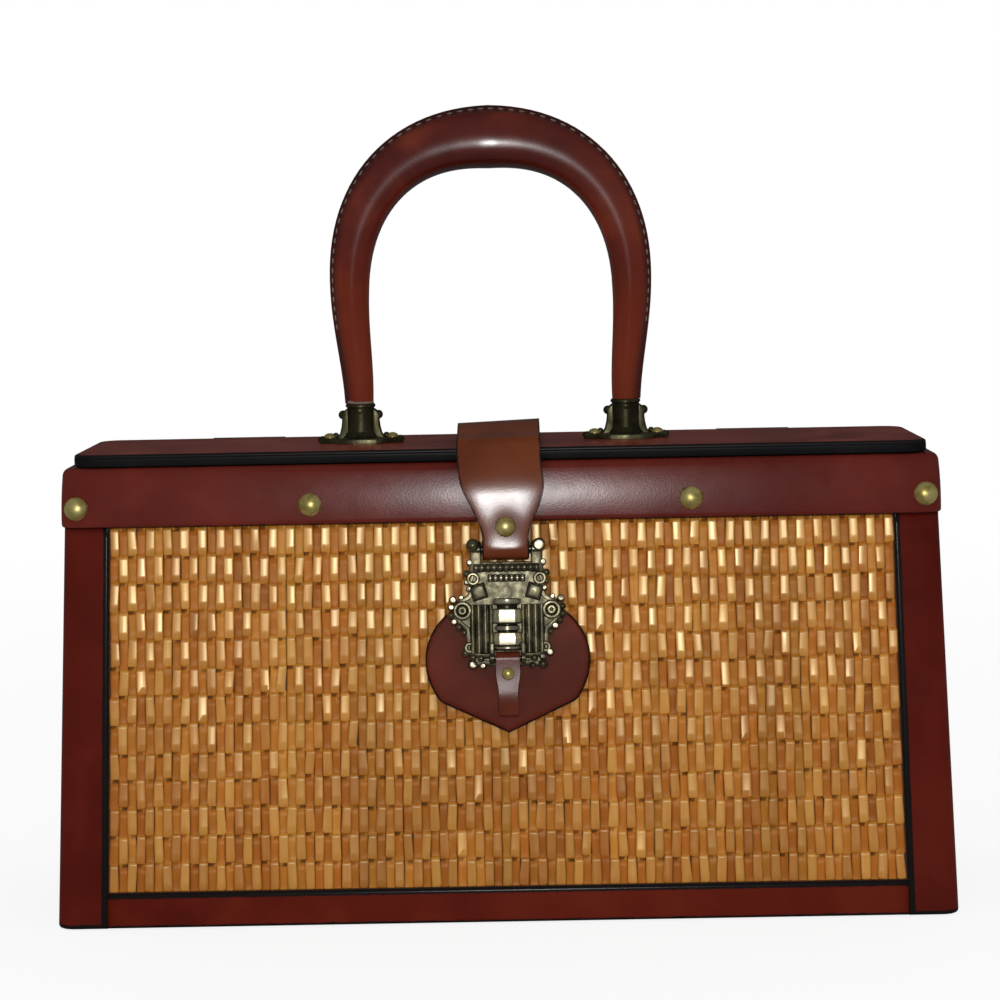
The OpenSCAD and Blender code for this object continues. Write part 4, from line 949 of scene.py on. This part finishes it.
NAIL_V, NAIL_N = mm(163.35, 1.4)
nail_xs = mm(-164.94, -74, 74, 164.94)
rim_places = [slope @ Matrix.Translation((x, NAIL_V, NAIL_N)) for slope in (FRONT, BACK) for x in nail_xs]
nail_set("rim_nail_domes", "rim_nails", "case", rim_places, *mm(4.65, 3))

rivet_n = strap_front_n(STRAP_RIVET_V) + STRAP_T / 2 - 0.45 * MM
rivet_place = CLASP @ Matrix.Translation((0, STRAP_RIVET_V, rivet_n))
nail_set("strap_rivet_dome", "strap_rivet", "lid", [rivet_place], *mm(4, 2.6))
rear_places = [
    Matrix.Translation((CLASP_X + x, 28 * MM, STRAP_Z + STRAP_T / 2)) for x in mm(-9.75, 9.75)
]
nail_set("strap_rear_rivet_domes", "strap_rear_rivets", "lid", rear_places, *mm(3.2, 1.3))

# %% [markdown]
# ## Clasp
# The clasp is a cast frame: a top bar held between two ears, a waisted plate with beaded scrolls, a
# fluted pair of columns and a turned barrel down the middle. It is made like the pattern for the
# casting would be: a bevelled plate first, then turned, beaded and ringed parts set on it.

# %% Parts for castings
def bevel_edges(part, edges, offset, segments):
    bmesh.ops.bevel(
        part, geom=edges, offset=offset, offset_type="OFFSET", affect="EDGES",
        segments=segments, profile=0.5, material=-1,
    )


def plate_part(outline, low, high, matrix=Matrix(), bevel=0.5 * MM, recess=None):
    """A bevelled plate; recess gives the width of its rim and the depth of the field inside it."""
    part = bmesh.new()
    hollow = part.verts.layers.float.new("hollow")
    face = part.faces.new([part.verts.new((x, y, low)) for x, y in outline])
    raised = bmesh.ops.extrude_face_region(part, geom=[face])["geom"]
    verts = [g for g in raised if isinstance(g, bmesh.types.BMVert)]
    bmesh.ops.translate(part, vec=(0, 0, high - low), verts=verts)
    top = next(g for g in raised if isinstance(g, bmesh.types.BMFace))
    bmesh.ops.recalc_face_normals(part, faces=part.faces)
    bevel_edges(part, top.edges[:], bevel, 3)
    if recess:
        top = max((f for f in part.faces if f.normal.z > 0.99), key=lambda f: f.calc_area())
        for thickness, depth in ((recess[0], 0), (0.35 * MM, -recess[1])):
            bmesh.ops.inset_region(part, faces=[top], thickness=thickness, depth=depth, use_even_offset=True)
        for vert in top.verts:
            vert[hollow] = 0.9
    return moved(part, matrix)


wear = random.Random(21)


def ball_part(place, r, worn=False):
    """A bead; a worn one has a small flat rubbed on its front, turned a little at random."""
    part = bmesh.new()
    hollow = part.verts.layers.float.new("hollow")
    bmesh.ops.create_uvsphere(part, u_segments=14, v_segments=9, radius=r)
    if worn and wear.random() < 0.5:
        out = Vector((math.radians(wear.gauss(0, 4)), math.radians(wear.gauss(3, 4)), 1)).normalized()
        for vert in part.verts:
            rubbed = max(0, vert.co.dot(out) - 0.78 * r)
            vert.co -= out * rubbed
            vert[hollow] = -0.6 if rubbed else 0
    return moved(part, Matrix.Translation(place))


def ring_part(place, ring_r, wire_r):
    angles = steps(0, 2 * math.pi, 10)
    arc = [(ring_r + wire_r * math.cos(a), wire_r * math.sin(a)) for a in angles]
    return spun_part(arc, Matrix.Translation(place), 24, [0.4 * (math.sin(a) < 0) for a in angles])


def turned_part(profile, place, turn, sides=28, hollow=None):
    return spun_part(profile, Matrix.Translation(place) @ turn, sides, hollow)


def mirrored(part):
    bmesh.ops.reverse_faces(moved(part, flips(-1, 1)), faces=part.faces)
    return part


def both_halves(right):
    return [(-x, v) for x, v in right] + right[::-1]


def rod(length, r):
    half = [(0, length / 2), (0.8 * r, length / 2), (r, length / 2 - 0.2 * r)]
    return [(x, -h) for x, h in half] + half[::-1]


def on_clasp(parts):
    return moved(moved(gather(parts), Matrix.Translation((0, BAR_V, 0))), CLASP)


ALONG_X = Matrix.Rotation(math.pi / 2, 4, "Y")
DOWN_V = Matrix.Rotation(math.pi / 2, 4, "X")
print("casting parts ready")

# %% Clasp front
HASP_H, HASP_HALF, HASP_N, HASP_T = mm(42, 21.5, 4.4, 2)
HASP_FRONT = HASP_N + HASP_T
TAB_BAR_V, TAB_BAR_N = BAR_V - HASP_H, HASP_N + 2.6 * MM
BARREL_R = 5.7 * MM
BARREL_TOP, BARREL_LOW = 0.45 * HASP_H, 0.92 * HASP_H
# Points, bars, flutes, rings and beads lie at shares of HASP_HALF and HASP_H; their own sizes are in mm.
HASP_RIGHT = [
    (0.62, -0.113), (0.64, -0.2), (0.7, -0.29), (0.66, -0.37), (0.72, -0.42), (0.9, -0.47),
    (0.97, -0.54), (0.97, -0.63), (0.86, -0.7), (0.76, -0.74), (0.74, -0.83), (0.76, -0.92),
    (0.68, -0.97), (0.5, -1), (0.235, -1), (0.235, -0.93),
]
HASP_BARS = (0.17, 0.6, 1.7, 11, 0.1), (0.265, 0.34, 1.6, 7, 1), (0.9, 0.45, 1.1, 8, 0.5)
HASP_FLUTES = (0.29, 0.8), (0.39, 1.4), (0.51, 1.4), (0.62, 1.1)
HASP_RINGS = (0.8, 0.56, 2.9, 0.9), (0.8, 0.56, 1.1, 0.9), (0.6, 0.27, 1.9, 0.8), (0.68, 0.9, 1.5, 0.8)
HASP_BEADS = [
    (0.97, 0.46, 1.6), (1.0, 0.53, 1.3), (1.0, 0.6, 1.5), (0.95, 0.66, 1.3), (0.86, 0.71, 1.5),
    (0.77, 0.76, 1.2), (0.76, 0.95, 1.6), (0.62, 0.99, 1.3), (0.48, 1.0, 1.4), (0.72, 0.22, 1.4),
    (0.72, 0.3, 1.1), (0.68, 0.36, 1.2), (0.66, 0.12, 1.3), (0.82, 0.44, 1.1),
]
CUSHION = (0, 0), (0.86, 0), (0.94, 0.06), (0.955, 0.12), (0.985, 0.88), (0.97, 0.94), (0.9, 1), (0, 1)


def beaded_bar(length, r, beads, rubbed, waist=0.8):
    profile, hollow = [(0, -length / 2)], [0]
    for bead in range(beads):
        for share in (0.04, 0.25, 0.5, 0.75, 0.96):
            swell = waist + (1 - waist) * math.sin(math.pi * share) ** 0.7
            profile.append((r * swell, -length / 2 + length * (bead + share) / beads))
            hollow.append(1 if share in (0.04, 0.96) else -rubbed if share == 0.5 else 0)
    return profile + [(0, length / 2)], hollow + [0]


def barrel_parts():
    """A round spindle with two six-sided cushions, whose flat fronts catch the light."""
    length, at = BARREL_LOW - BARREL_TOP, (0, -BARREL_TOP, HASP_N + 0.9 * MM)
    shares = [
        (0, 0), (0, 0.8), (0.02, 0.95), (0.08, 0.98), (0.12, 0.92), (0.15, 0.7), (0.52, 0.7), (0.55, 0.84),
        (0.62, 0.84), (0.65, 0.7), (0.93, 0.7), (0.95, 0.88), (0.985, 0.88), (1, 0.8), (1, 0),
    ]
    hollow = [{0.7: 1, 0.98: -0.7, 0.95: -0.5, 0.84: -0.4, 0.88: -0.5}.get(r, 0) for _, r in shares]
    parts = [turned_part([(BARREL_R * r, length * t) for t, r in shares], at, DOWN_V, 32, hollow)]
    for low, high in ((0.2, 0.5), (0.66, 0.93)):
        profile = [(1.08 * BARREL_R * r, length * (low + (high - low) * t)) for r, t in CUSHION]
        parts.append(turned_part(profile, at, DOWN_V, 6, [0, 0, 0, -1, -1, 0, 0, 0]))
    return parts


def hasp_side():
    """The half at +x: ear and arm, flutes, boss, rings, beads and the lug of the lower bar."""
    x_ear, lug_x, lug_v = STRAP_END_W / 2 + 0.6 * MM, 5 * MM, TAB_BAR_V - BAR_V
    arm = [(x_ear + x * MM, v * MM) for x, v in ((0, 0.5), (4.2, 0.5), (4.4, -5), (5, -9), (0, -9))]
    parts = [
        turned_part(rod(*mm(4.2, 3.2)), (x_ear + 2.1 * MM, 0, BAR_N), ALONG_X, 20),
        plate_part(arm, BAR_N, HASP_FRONT + 0.3 * MM),
        ball_part((x_ear + 3.2 * MM, 1.6 * MM, BAR_N + 2.2 * MM), 2.7 * MM, True),
    ]
    for share, r in HASP_FLUTES:
        at = (HASP_HALF * share, -0.73 * HASP_H, HASP_FRONT)
        parts.append(turned_part(rod(0.45 * HASP_H, r * MM), at, DOWN_V, 14))
    boss = bmesh.new()
    boss.verts.layers.float.new("hollow")
    low_r, top_r, tall = mm(4.6, 3.1, 1.6)
    bmesh.ops.create_cone(boss, cap_ends=True, segments=4, radius1=low_r, radius2=top_r, depth=tall)
    moved(boss, Matrix.Rotation(0.5, 4, "Z"))
    bevel_edges(boss, boss.edges[:], 0.3 * MM, 2)
    boss_at = (HASP_HALF * 0.5, -0.39 * HASP_H, HASP_FRONT + 0.7 * MM)
    parts.append(moved(boss, Matrix.Translation(boss_at)))
    for x, v, ring_r, wire_r in HASP_RINGS:
        parts.append(ring_part((HASP_HALF * x, -HASP_H * v, HASP_FRONT), *mm(ring_r, wire_r)))
    for x, v, r in HASP_BEADS:
        parts.append(ball_part((HASP_HALF * x, -HASP_H * v, HASP_FRONT - 0.4 * MM), r * MM, True))
    parts.append(turned_part(rod(*mm(2.1, 2.2)), (lug_x + 1.05 * MM, lug_v, TAB_BAR_N), ALONG_X, 16))
    lug = [(lug_x + x * MM, lug_v + v * MM) for x, v in ((0, 0), (2.1, 0), (2.1, 6), (0, 6))]
    return parts + [plate_part(lug, HASP_N + 0.2 * MM, TAB_BAR_N + 1.2 * MM)]


def hasp_parts():
    outline = both_halves([(HASP_HALF * x, HASP_H * v) for x, v in HASP_RIGHT])
    parts = [plate_part(outline, HASP_N, HASP_FRONT, recess=mm(1.1, 0.5))] + barrel_parts()
    for v_share, half_share, r, beads, rubbed in HASP_BARS:
        profile, hollow = beaded_bar(2 * half_share * HASP_HALF, r * MM, beads, rubbed)
        parts.append(turned_part(profile, (0, -v_share * HASP_H, HASP_FRONT), ALONG_X, 16, hollow))
    parts.append(turned_part(rod(STRAP_END_W + 8 * MM, 1.5 * MM), (0, 0, BAR_N), ALONG_X, 16))
    parts += hasp_side() + [mirrored(part) for part in hasp_side()]
    return parts + [turned_part(rod(*mm(13, 1)), (0, TAB_BAR_V - BAR_V, TAB_BAR_N), ALONG_X, 12)]


make_piece("hasp_casting", on_clasp(hasp_parts()), old_brass, "hasp", ["hasp"], sharp=35)

# %% [markdown]
# Behind the clasp sits the lock plate. Its flared lower corners with their beads show below the clasp,
# and four small rivets hold it to the patch.

# %% Lock plate
LOCK_N, LOCK_FRONT = mm(1.5, 3.1)
LOCK_RIGHT = [
    (12.8, -20.6), (13.8, -24), (13, -32), (13.2, -40), (15, -43.5), (13.8, -46), (9.5, -44.6), (5, -45.4)
]
outline = both_halves([mm(*point) for point in LOCK_RIGHT])
parts = [plate_part(outline, LOCK_N, LOCK_FRONT, recess=mm(1, 0.3))]
for flip in (-1, 1):
    for x, v, r in (mm(13.6, -44.6, 1.9), mm(13, -21.6, 1.5), mm(9.6, -45, 1.3)):
        parts.append(ball_part((flip * x, v, LOCK_FRONT), r, True))
catch_post = Matrix.Translation((0, -0.66 * HASP_H, LOCK_FRONT - 0.1 * MM))
parts.append(spun_part(dome(*mm(2.2, 2.4)), catch_post))
make_piece("lock_plate_casting", on_clasp(parts), old_brass, "case", ["lock_plate"], sharp=35)
rivet_places = [
    CLASP @ Matrix.Translation((x, BAR_V - share * HASP_H, LOCK_FRONT))
    for x in mm(-11.2, 11.2) for share in (0.56, 0.9)
]
nail_set("lock_rivet_domes", "lock_rivets", "case", rivet_places, *mm(2.2, 0.8))

# %% [markdown]
# ## Pull tab
# A narrow tongue of hide is folded round the lower bar of the clasp and held by one small rivet. It is
# swept like the strap: the front layer hangs down, springs out below the rivet and turns in at its end.

# %% Pull tab
TAB_H, TAB_W, TAB_END_W, TAB_T = mm(22, 9.4, 7.8, 1.3)
TAB_LOOP_R, TAB_TURN_H, TAB_TURN = 1.95 * MM, 12 * MM, 13
TAB_SPRING, TAB_GRIP, TAB_RIVET_H, TAB_RETURN = 2.75, 3.6 * MM, 6 * MM, 10.5 * MM


def tab_front(h):
    past = max(0, h - TAB_TURN_H)
    return TAB_LOOP_R + 0.01 * h + TAB_SPRING * h**2 - TAB_TURN * past**2


tab_points = [Vector((-h, tab_front(h))) for h in steps(TAB_H, 0, 24)]
for a in steps(0, math.pi, 12)[1:]:
    tab_points.append(Vector((TAB_LOOP_R * math.sin(a), TAB_LOOP_R * math.cos(a))))
for s in steps(0, 1, 10)[1:]:
    n = tab_front(TAB_GRIP) - TAB_T - 0.1 * MM
    tab_points.append(Vector((-TAB_GRIP * s, (n + TAB_LOOP_R) * smooth_step(0, 1, s) - TAB_LOOP_R)))
tab_points += [Vector((-h, tab_front(h) - TAB_T - 0.1 * MM)) for h in (TAB_RIVET_H, TAB_RETURN)]


def tab_half(h):
    full = 0.9 * MM * math.exp(-(((-h - TAB_RIVET_H) / (3.6 * MM)) ** 2))
    waist = 0.7 * MM * math.exp(-(((-h - 13 * MM) / (4.5 * MM)) ** 2))
    return (TAB_W + (TAB_END_W - TAB_W) * min(max(-h / TAB_H, 0), 1) + full - waist) / 2


def tab_place(s, k):
    p = tab_points[k]
    return CLASP @ Vector((s * tab_half(p.x), TAB_BAR_V + p.x, TAB_BAR_N + p.y))


def tab_cut(s, k):
    return min((1 - abs(s)) * tab_half(tab_points[k].x), TAB_H + tab_points[k].x) + 0.3 * MM


tab_across = [-1, -0.94, -0.82, -0.6, -0.3, 0, 0.3, 0.6, 0.82, 0.94, 1]
bm = bent_grid(tab_across, list(range(len(tab_points))), tab_place, tab_cut)
tab = make_piece("pull_tab_hide", bm, hides["tab"], "pull_tab", ["pull_tab"])
thicken(tab, TAB_T - 0.05 * MM, 0, 0.35 * MM)
tab_rivet_n = TAB_BAR_N + tab_front(TAB_RIVET_H) + TAB_T / 2 + 0.05 * MM
tab_rivet_place = CLASP @ Matrix.Translation((0, TAB_BAR_V - TAB_RIVET_H, tab_rivet_n))
nail_set("pull_tab_rivet_dome", "pull_tab_rivet", "pull_tab", [tab_rivet_place], *mm(2.5, 1.7))

# %% [markdown]
# ## Handle
# The handle is a stuffed leather roll, thin in the sockets and thick at the crown. Its hide is wrapped
# round a core and closed by a seam along the outside, which stands up as a dark welt with a row of
# stitches. A ring of points is carried along the two legs and the arch; the welt is part of
# the ring's own shape, and the stitches are small beads of thread laid beside it.
# Its finish paints shade beside the seam and under the crown, and a sheen low on the legs.

# %% Handle
HANDLE_HALF, ARCH_HALF, ARCH_Z, ARCH_H, LEG_Z = mm(53.3, 56, 242.8, 60.5, 198.6)
LEG_R, CROWN_R, LEG_SHARE, ARCH_POWER = 5.3 * MM, 11.9 * MM, 0.3, 0.88
WELT, WELT_W, SEAM_DIP, SEAM_DIP_AT, SEAM_DIP_W = mm(1.3, 1.5, 0.35, 3.4, 1.6)
FULLNESS, SEAM_PINCH, FLATNESS, FLAT_POWER = 1.15, 0.22, 1.09, 6


def handle_line():
    leg = []
    for s in steps(0, 1, 14)[:-1]:
        x = ARCH_HALF - (ARCH_HALF - HANDLE_HALF) * (1 + math.cos(math.pi * s)) / 2
        leg.append((Vector((x, LEG_Z + (ARCH_Z - LEG_Z) * s)), LEG_R + (CROWN_R - LEG_R) * LEG_SHARE * s))
    arch = []
    for a in steps(0, math.pi, 56):
        s = LEG_SHARE + (1 - LEG_SHARE) * (1 - abs(a - math.pi / 2) / (math.pi / 2))
        x = math.copysign(abs(math.cos(a)) ** ARCH_POWER, math.cos(a))
        z = abs(math.sin(a)) ** ARCH_POWER
        arch.append((Vector((ARCH_HALF * x, ARCH_Z + ARCH_H * z)), LEG_R + (CROWN_R - LEG_R) * s))
    return leg + arch + [(Vector((-p.x, p.y)), r) for p, r in reversed(leg)]


handle_points = handle_line()


def handle_out(k):
    d = handle_points[min(k + 1, len(handle_points) - 1)][0] - handle_points[max(k - 1, 0)][0]
    return Vector((d.y, -d.x)).normalized()


def handle_skin(k, phi):
    centre, r = handle_points[k]
    out = handle_out(k)
    welt = WELT * min(1, r / CROWN_R + 0.2) * math.exp(-((phi * r / WELT_W) ** 2))
    dip = SEAM_DIP * math.exp(-(((abs(phi) * r - SEAM_DIP_AT) / SEAM_DIP_W) ** 2))
    reach = r + welt - dip
    p = centre + out * (reach * math.cos(phi))
    full = FULLNESS * reach * abs(math.sin(phi)) * (1 - SEAM_PINCH * math.cos(phi)) + 1e-9
    flat = (full**-FLAT_POWER + (FLATNESS * r) ** -FLAT_POWER) ** (-1 / FLAT_POWER)
    plump = smooth_step(LEG_R, CROWN_R, r)
    y = plump * math.copysign(flat, phi) + (1 - plump) * reach * math.sin(phi)
    return Vector((p.x + HANDLE_X, y, p.y))


ring_angles = [math.pi * s * abs(s) ** 0.6 for s in steps(-1, 1, 44)]
bm = bent_grid(
    ring_angles, list(range(len(handle_points))), lambda phi, k: handle_skin(k, phi),
    lambda phi, k: abs(phi) * handle_points[k][1] + 0.9 * MM, joined=True,
)
for rim in ([e for e in bm.edges if e.is_boundary and e.verts[0].co.x * flip > 0] for flip in (1, -1)):
    bmesh.ops.contextual_create(bm, geom=rim)
bmesh.ops.recalc_face_normals(bm, faces=bm.faces)
make_piece("handle_hide", bm, hides["handle"], "lid", ["handle"], sharp=60)

# %% Stitches of the handle
STITCH_PITCH, STITCH_L, STITCH_R, STITCH_OFF, SEWN_FROM_R = mm(3.6, 1.2, 0.34, 2, 6.6)


def stitch_places():
    walked, places = 0, []
    for k in range(1, len(handle_points)):
        a, b = handle_points[k - 1][0], handle_points[k][0]
        span = (b - a).length
        while walked + span >= STITCH_PITCH * (len(places) + 1):
            places.append(k - 1 + (STITCH_PITCH * (len(places) + 1) - walked) / span)
        walked += span
    return places


bm = bmesh.new()
for place in stitch_places():
    k, share = int(place), place - int(place)
    if handle_points[k][1] < SEWN_FROM_R:
        continue
    for side in (-1, 1):
        ends = [handle_skin(j, side * STITCH_OFF / handle_points[j][1]) for j in (k, k + 1)]
        seat = ends[0].lerp(ends[1], share)
        made = bmesh.ops.create_uvsphere(bm, u_segments=6, v_segments=4, radius=1)["verts"]
        bmesh.ops.scale(bm, vec=(STITCH_R, STITCH_R, STITCH_L), verts=made)
        turn = (ends[1] - ends[0]).to_track_quat("Z", "Y").to_matrix()
        bmesh.ops.rotate(bm, matrix=turn, verts=made)
        bmesh.ops.translate(bm, vec=seat, verts=made)
make_piece("handle_stitches", bm, seam_thread, "lid")

# %% [markdown]
# ## Handle mounts
# Each leg of the handle stands in a cast socket on a flange, stiffened by a wing on either side that
# ends in a ball. The socket is spun as a tube with a lip, the flange and wings are bevelled plates, and
# beads close the flange ends.

# %% Handle mounts
FLANGE_T, MOUNT_Z, SOCKET_TOP, SOCKET_R, SOCKET_BORE = mm(2, 182.8, 198.5, 6, 5)
FLANGE_QUARTER = [
    (17, 0), (16.6, 2.6), (15, 3.4), (14, 2.9), (12.6, 3.6), (11, 5.6), (9, 7.6), (6, 8.5), (0, 8.5),
]
WING = [
    (4.8, 1.6), (10.4, 1.6), (9.2, 2.6), (8.4, 4), (7.8, 6.4), (7.5, 9), (7.8, 10.6), (7.2, 12.2),
    (6.2, 13.2), (4.8, 14),
]
MOUNT_BALLS = [
    (7.2, 0, 11.2, 1.8), (10.2, 0, 2.8, 1.3), (15.6, 1.8, 1.5, 1.2), (15.6, -1.8, 1.5, 1.2),
    (16.4, 0, 1.4, 1.1),
]
TUBE_HOLLOW = [1, 1, 0, 0, 0, 0.9, 0.2, 0.5, 0.7, 1, 1, 1]


def flange_outline():
    quarter = [mm(*point) for point in FLANGE_QUARTER]
    upper = quarter + [(-x, y) for x, y in reversed(quarter[:-1])]
    return upper + [(x, -y) for x, y in reversed(upper[1:-1])]


def mount_parts(x):
    base = Matrix.Translation((x, 0, MOUNT_Z))
    tall = SOCKET_TOP - MOUNT_Z
    bottom = (SOCKET_BORE, 0.5 * MM)
    tube = [bottom, (SOCKET_BORE, tall)]
    tube += [(SOCKET_R - r, tall - h) for r, h in (mm(0.4, 0), mm(0, 0.5), mm(0, 1.2), mm(0.5, 1.6))]
    tube += [(SOCKET_R + r, h) for r, h in (mm(-0.5, 4.4), mm(0, 4), mm(0.5, 3), mm(1.4, 2.2), mm(1.8, 1.9))]
    parts = [plate_part(flange_outline(), 0, FLANGE_T, base, 0.6 * MM)]
    parts.append(spun_part(tube + [bottom], base, 32, TUBE_HOLLOW))
    for flip in (1, -1):
        wing = plate_part([mm(*point) for point in WING], *mm(-2, 2), bevel=0.6 * MM)
        parts.append(moved(mirrored(wing) if flip < 0 else wing, base @ DOWN_V))
        for bx, by, bz, r in [mm(*ball) for ball in MOUNT_BALLS]:
            parts.append(ball_part((x + flip * bx, by, MOUNT_Z + bz), r))
    return parts


mount_xs = (HANDLE_X - HANDLE_HALF, HANDLE_X + HANDLE_HALF)
for side, x in zip(("left", "right"), mount_xs):
    name, node = f"{side}_mount_casting", f"{side}_handle_mount"
    make_piece(name, gather(mount_parts(x)), mount_brass, "lid", [node], sharp=35)

# %% Rivets and collar of the handle
RIVET_Z = 195.8 * MM
places = []
for x in mount_xs:
    for flip in (-1, 1):
        outward = Matrix.Rotation(-flip * math.pi / 2, 4, "X")
        places.append(Matrix.Translation((x, flip * (SOCKET_R - 0.5 * MM), RIVET_Z)) @ outward)
nail_set("handle_rivet_domes", "handle_rivets", "lid", places, *mm(1.3, 0.9), old_brass, "old_brass")
places = [Matrix.Translation((x + out, 0, MOUNT_Z + FLANGE_T)) for x in mount_xs for out in mm(-12.6, 12.6)]
nail_set("mount_nail_domes", "mount_nails", "lid", places, *mm(2.6, 1.9))
lip = [(SOCKET_R - r, h) for r, h in (mm(0.7, 0), mm(0.5, 0.5), mm(0.8, 1.1))]
ring = [(SOCKET_BORE, 0), *lip, (SOCKET_BORE, 1.3 * MM), (SOCKET_BORE, 0)]
collar = spun_part(ring, Matrix.Translation((mount_xs[0], 0, SOCKET_TOP + 0.05 * MM)))
make_piece("left_handle_collar", collar, seam_thread, "lid")

# %% [markdown]
# ## Finishes of the CAD nodes that stay
# Boards, lining, hinges and the hide under the base have the right shape already. They only get a
# finish that belongs to them.

# %% Finishes for the nodes that stay
STAYING = {
    board_wood: ["base_board", "front_board", "back_board", "left_end_board", "right_end_board", "lid_board"],
    lining_cloth: ["case_lining", "lid_lining"],
    hides["plain"]: ["base_cover"],
    mount_brass: [
        "left_hinge_case_leaf", "right_hinge_case_leaf", "left_hinge_lid_leaf", "right_hinge_lid_leaf",
        "left_hinge_pin", "right_hinge_pin", "hinge_case_nails", "hinge_lid_nails",
    ],
}
for finish, names in STAYING.items():
    for name in names:
        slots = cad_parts[name].data.materials
        slots.clear()
        slots.append(finish)
print("finished CAD nodes:", sum(len(names) for names in STAYING.values()))

# %% [markdown]
# ## Floor, light and camera
# The photograph is lit by a lamp just above the lens with a white sweep all round. A small soft lamp
# there gives the same sheen down the middle of the leaning front, and a pale world fills the rest.
# Glossy rays see a darker room, as polished leather does. The floor is a pale sheet that keeps the shadow.

# %% Floor and world
FILL, MIRROR_FRONT, MIRROR_BEHIND, MIRROR_FLOOR = 0.8, 0.12, 0.05, 0.08
FADE_FROM, FADE_TO, GLOW_NEAR = 0.35, 1.4, 0.84
floor_mesh = bmesh.new()
bmesh.ops.create_grid(floor_mesh, x_segments=1, y_segments=1, size=6)
mesh = bpy.data.meshes.new("floor")
floor_mesh.to_mesh(mesh)
floor_mesh.free()
floor = bpy.data.objects.new("floor", mesh)
bpy.context.scene.collection.objects.link(floor)
floor_paper, tree, shader, coords = new_finish("floor_paper")
tint = ramp(tree, cloudy(tree, coords, 3, 2), [(0.3, (0.93, 0.93, 0.93)), (0.7, (0.96, 0.96, 0.96))])
tree.links.new(tint, shader.inputs["Base Color"])
shader.inputs["Roughness"].default_value = 0.9
shader.inputs["Specular IOR Level"].default_value = 0.1
glow, dim = [add(tree, "Emission", {"Color": (1, 1, 1, 1), "Strength": level}) for level in (1, MIRROR_FLOOR)]
path = add(tree, "LightPath")
far = add(tree, "VectorMath", {0: coords}, operation="LENGTH").outputs["Value"]
seen = times(tree, path.outputs["Is Camera Ray"], between(tree, far, FADE_FROM, FADE_TO, GLOW_NEAR, 1))
both = add(tree, "MixShader", {0: seen, 1: shader.outputs[0], 2: glow.outputs[0]})
both = add(tree, "MixShader", {0: path.outputs["Is Glossy Ray"], 1: both.outputs[0], 2: dim.outputs[0]})
tree.links.new(both.outputs[0], tree.nodes["Material Output"].inputs["Surface"])
mesh.materials.append(floor_paper)

world = bpy.data.worlds.new("white sweep")
bpy.context.scene.world = world
world.use_nodes = True
tree = world.node_tree
backdrop = tree.nodes["Background"]
backdrop.inputs["Color"].default_value = (1, 1, 1, 1)
path = add(tree, "LightPath")
way = add(tree, "TexCoord").outputs["Generated"]
facing = add(tree, "SeparateXYZ", {0: way}).outputs["Y"]
glossy = between(tree, facing, -0.35, 0.5, MIRROR_FRONT, MIRROR_BEHIND)
level = add(tree, "Mix", {0: path.outputs["Is Glossy Ray"], 2: FILL, 3: glossy}).outputs[0]
seen = math_node(tree, "MAXIMUM", path.outputs["Is Camera Ray"], path.outputs["Is Transmission Ray"])
level = add(tree, "Mix", {0: seen, 2: level, 3: 1}).outputs[0]
tree.links.new(level, backdrop.inputs["Strength"])
world.cycles.sampling_method = "NONE"
print("floor and world ready")

# %% Camera and lamp
CAMERA_AT = Vector((8.3, -1100, 266.6)) * MM
SENSOR, FOCAL_SHARE = 36, 2.737
PITCH, YAW, ROLL = math.radians(5.62), -0.008, -0.0194
turns = (-YAW, "Z"), (math.pi / 2 - PITCH, "X"), (ROLL, "Z")
camera = bpy.data.objects.new("camera", bpy.data.cameras.new("camera"))
bpy.context.scene.collection.objects.link(camera)
place = Matrix.Translation(CAMERA_AT)
for angle, axis in turns:
    place = place @ Matrix.Rotation(angle, 4, axis)
camera.matrix_world = place
camera.data.sensor_width = SENSOR
camera.data.lens = FOCAL_SHARE * SENSOR
camera.data.clip_start = 0.05
bpy.context.scene.camera = camera


LAMP_AT, LAMP_TOWARD = Vector((0.01, -1.1, 0.345)), Vector((0, 0, 0.14))
light = bpy.data.lights.new("lens lamp", "AREA")
light.shape, light.size, light.size_y, light.energy = "ELLIPSE", 0.11, 0.09, 2.4
lamp = bpy.data.objects.new("lens lamp", light)
bpy.context.scene.collection.objects.link(lamp)
lamp.location = LAMP_AT
lamp.rotation_mode = "QUATERNION"
lamp.rotation_quaternion = (LAMP_TOWARD - LAMP_AT).to_track_quat("-Z", "Y")
bpy.context.scene.view_settings.view_transform = "Standard"
print("camera at", [round(c, 3) for c in CAMERA_AT])
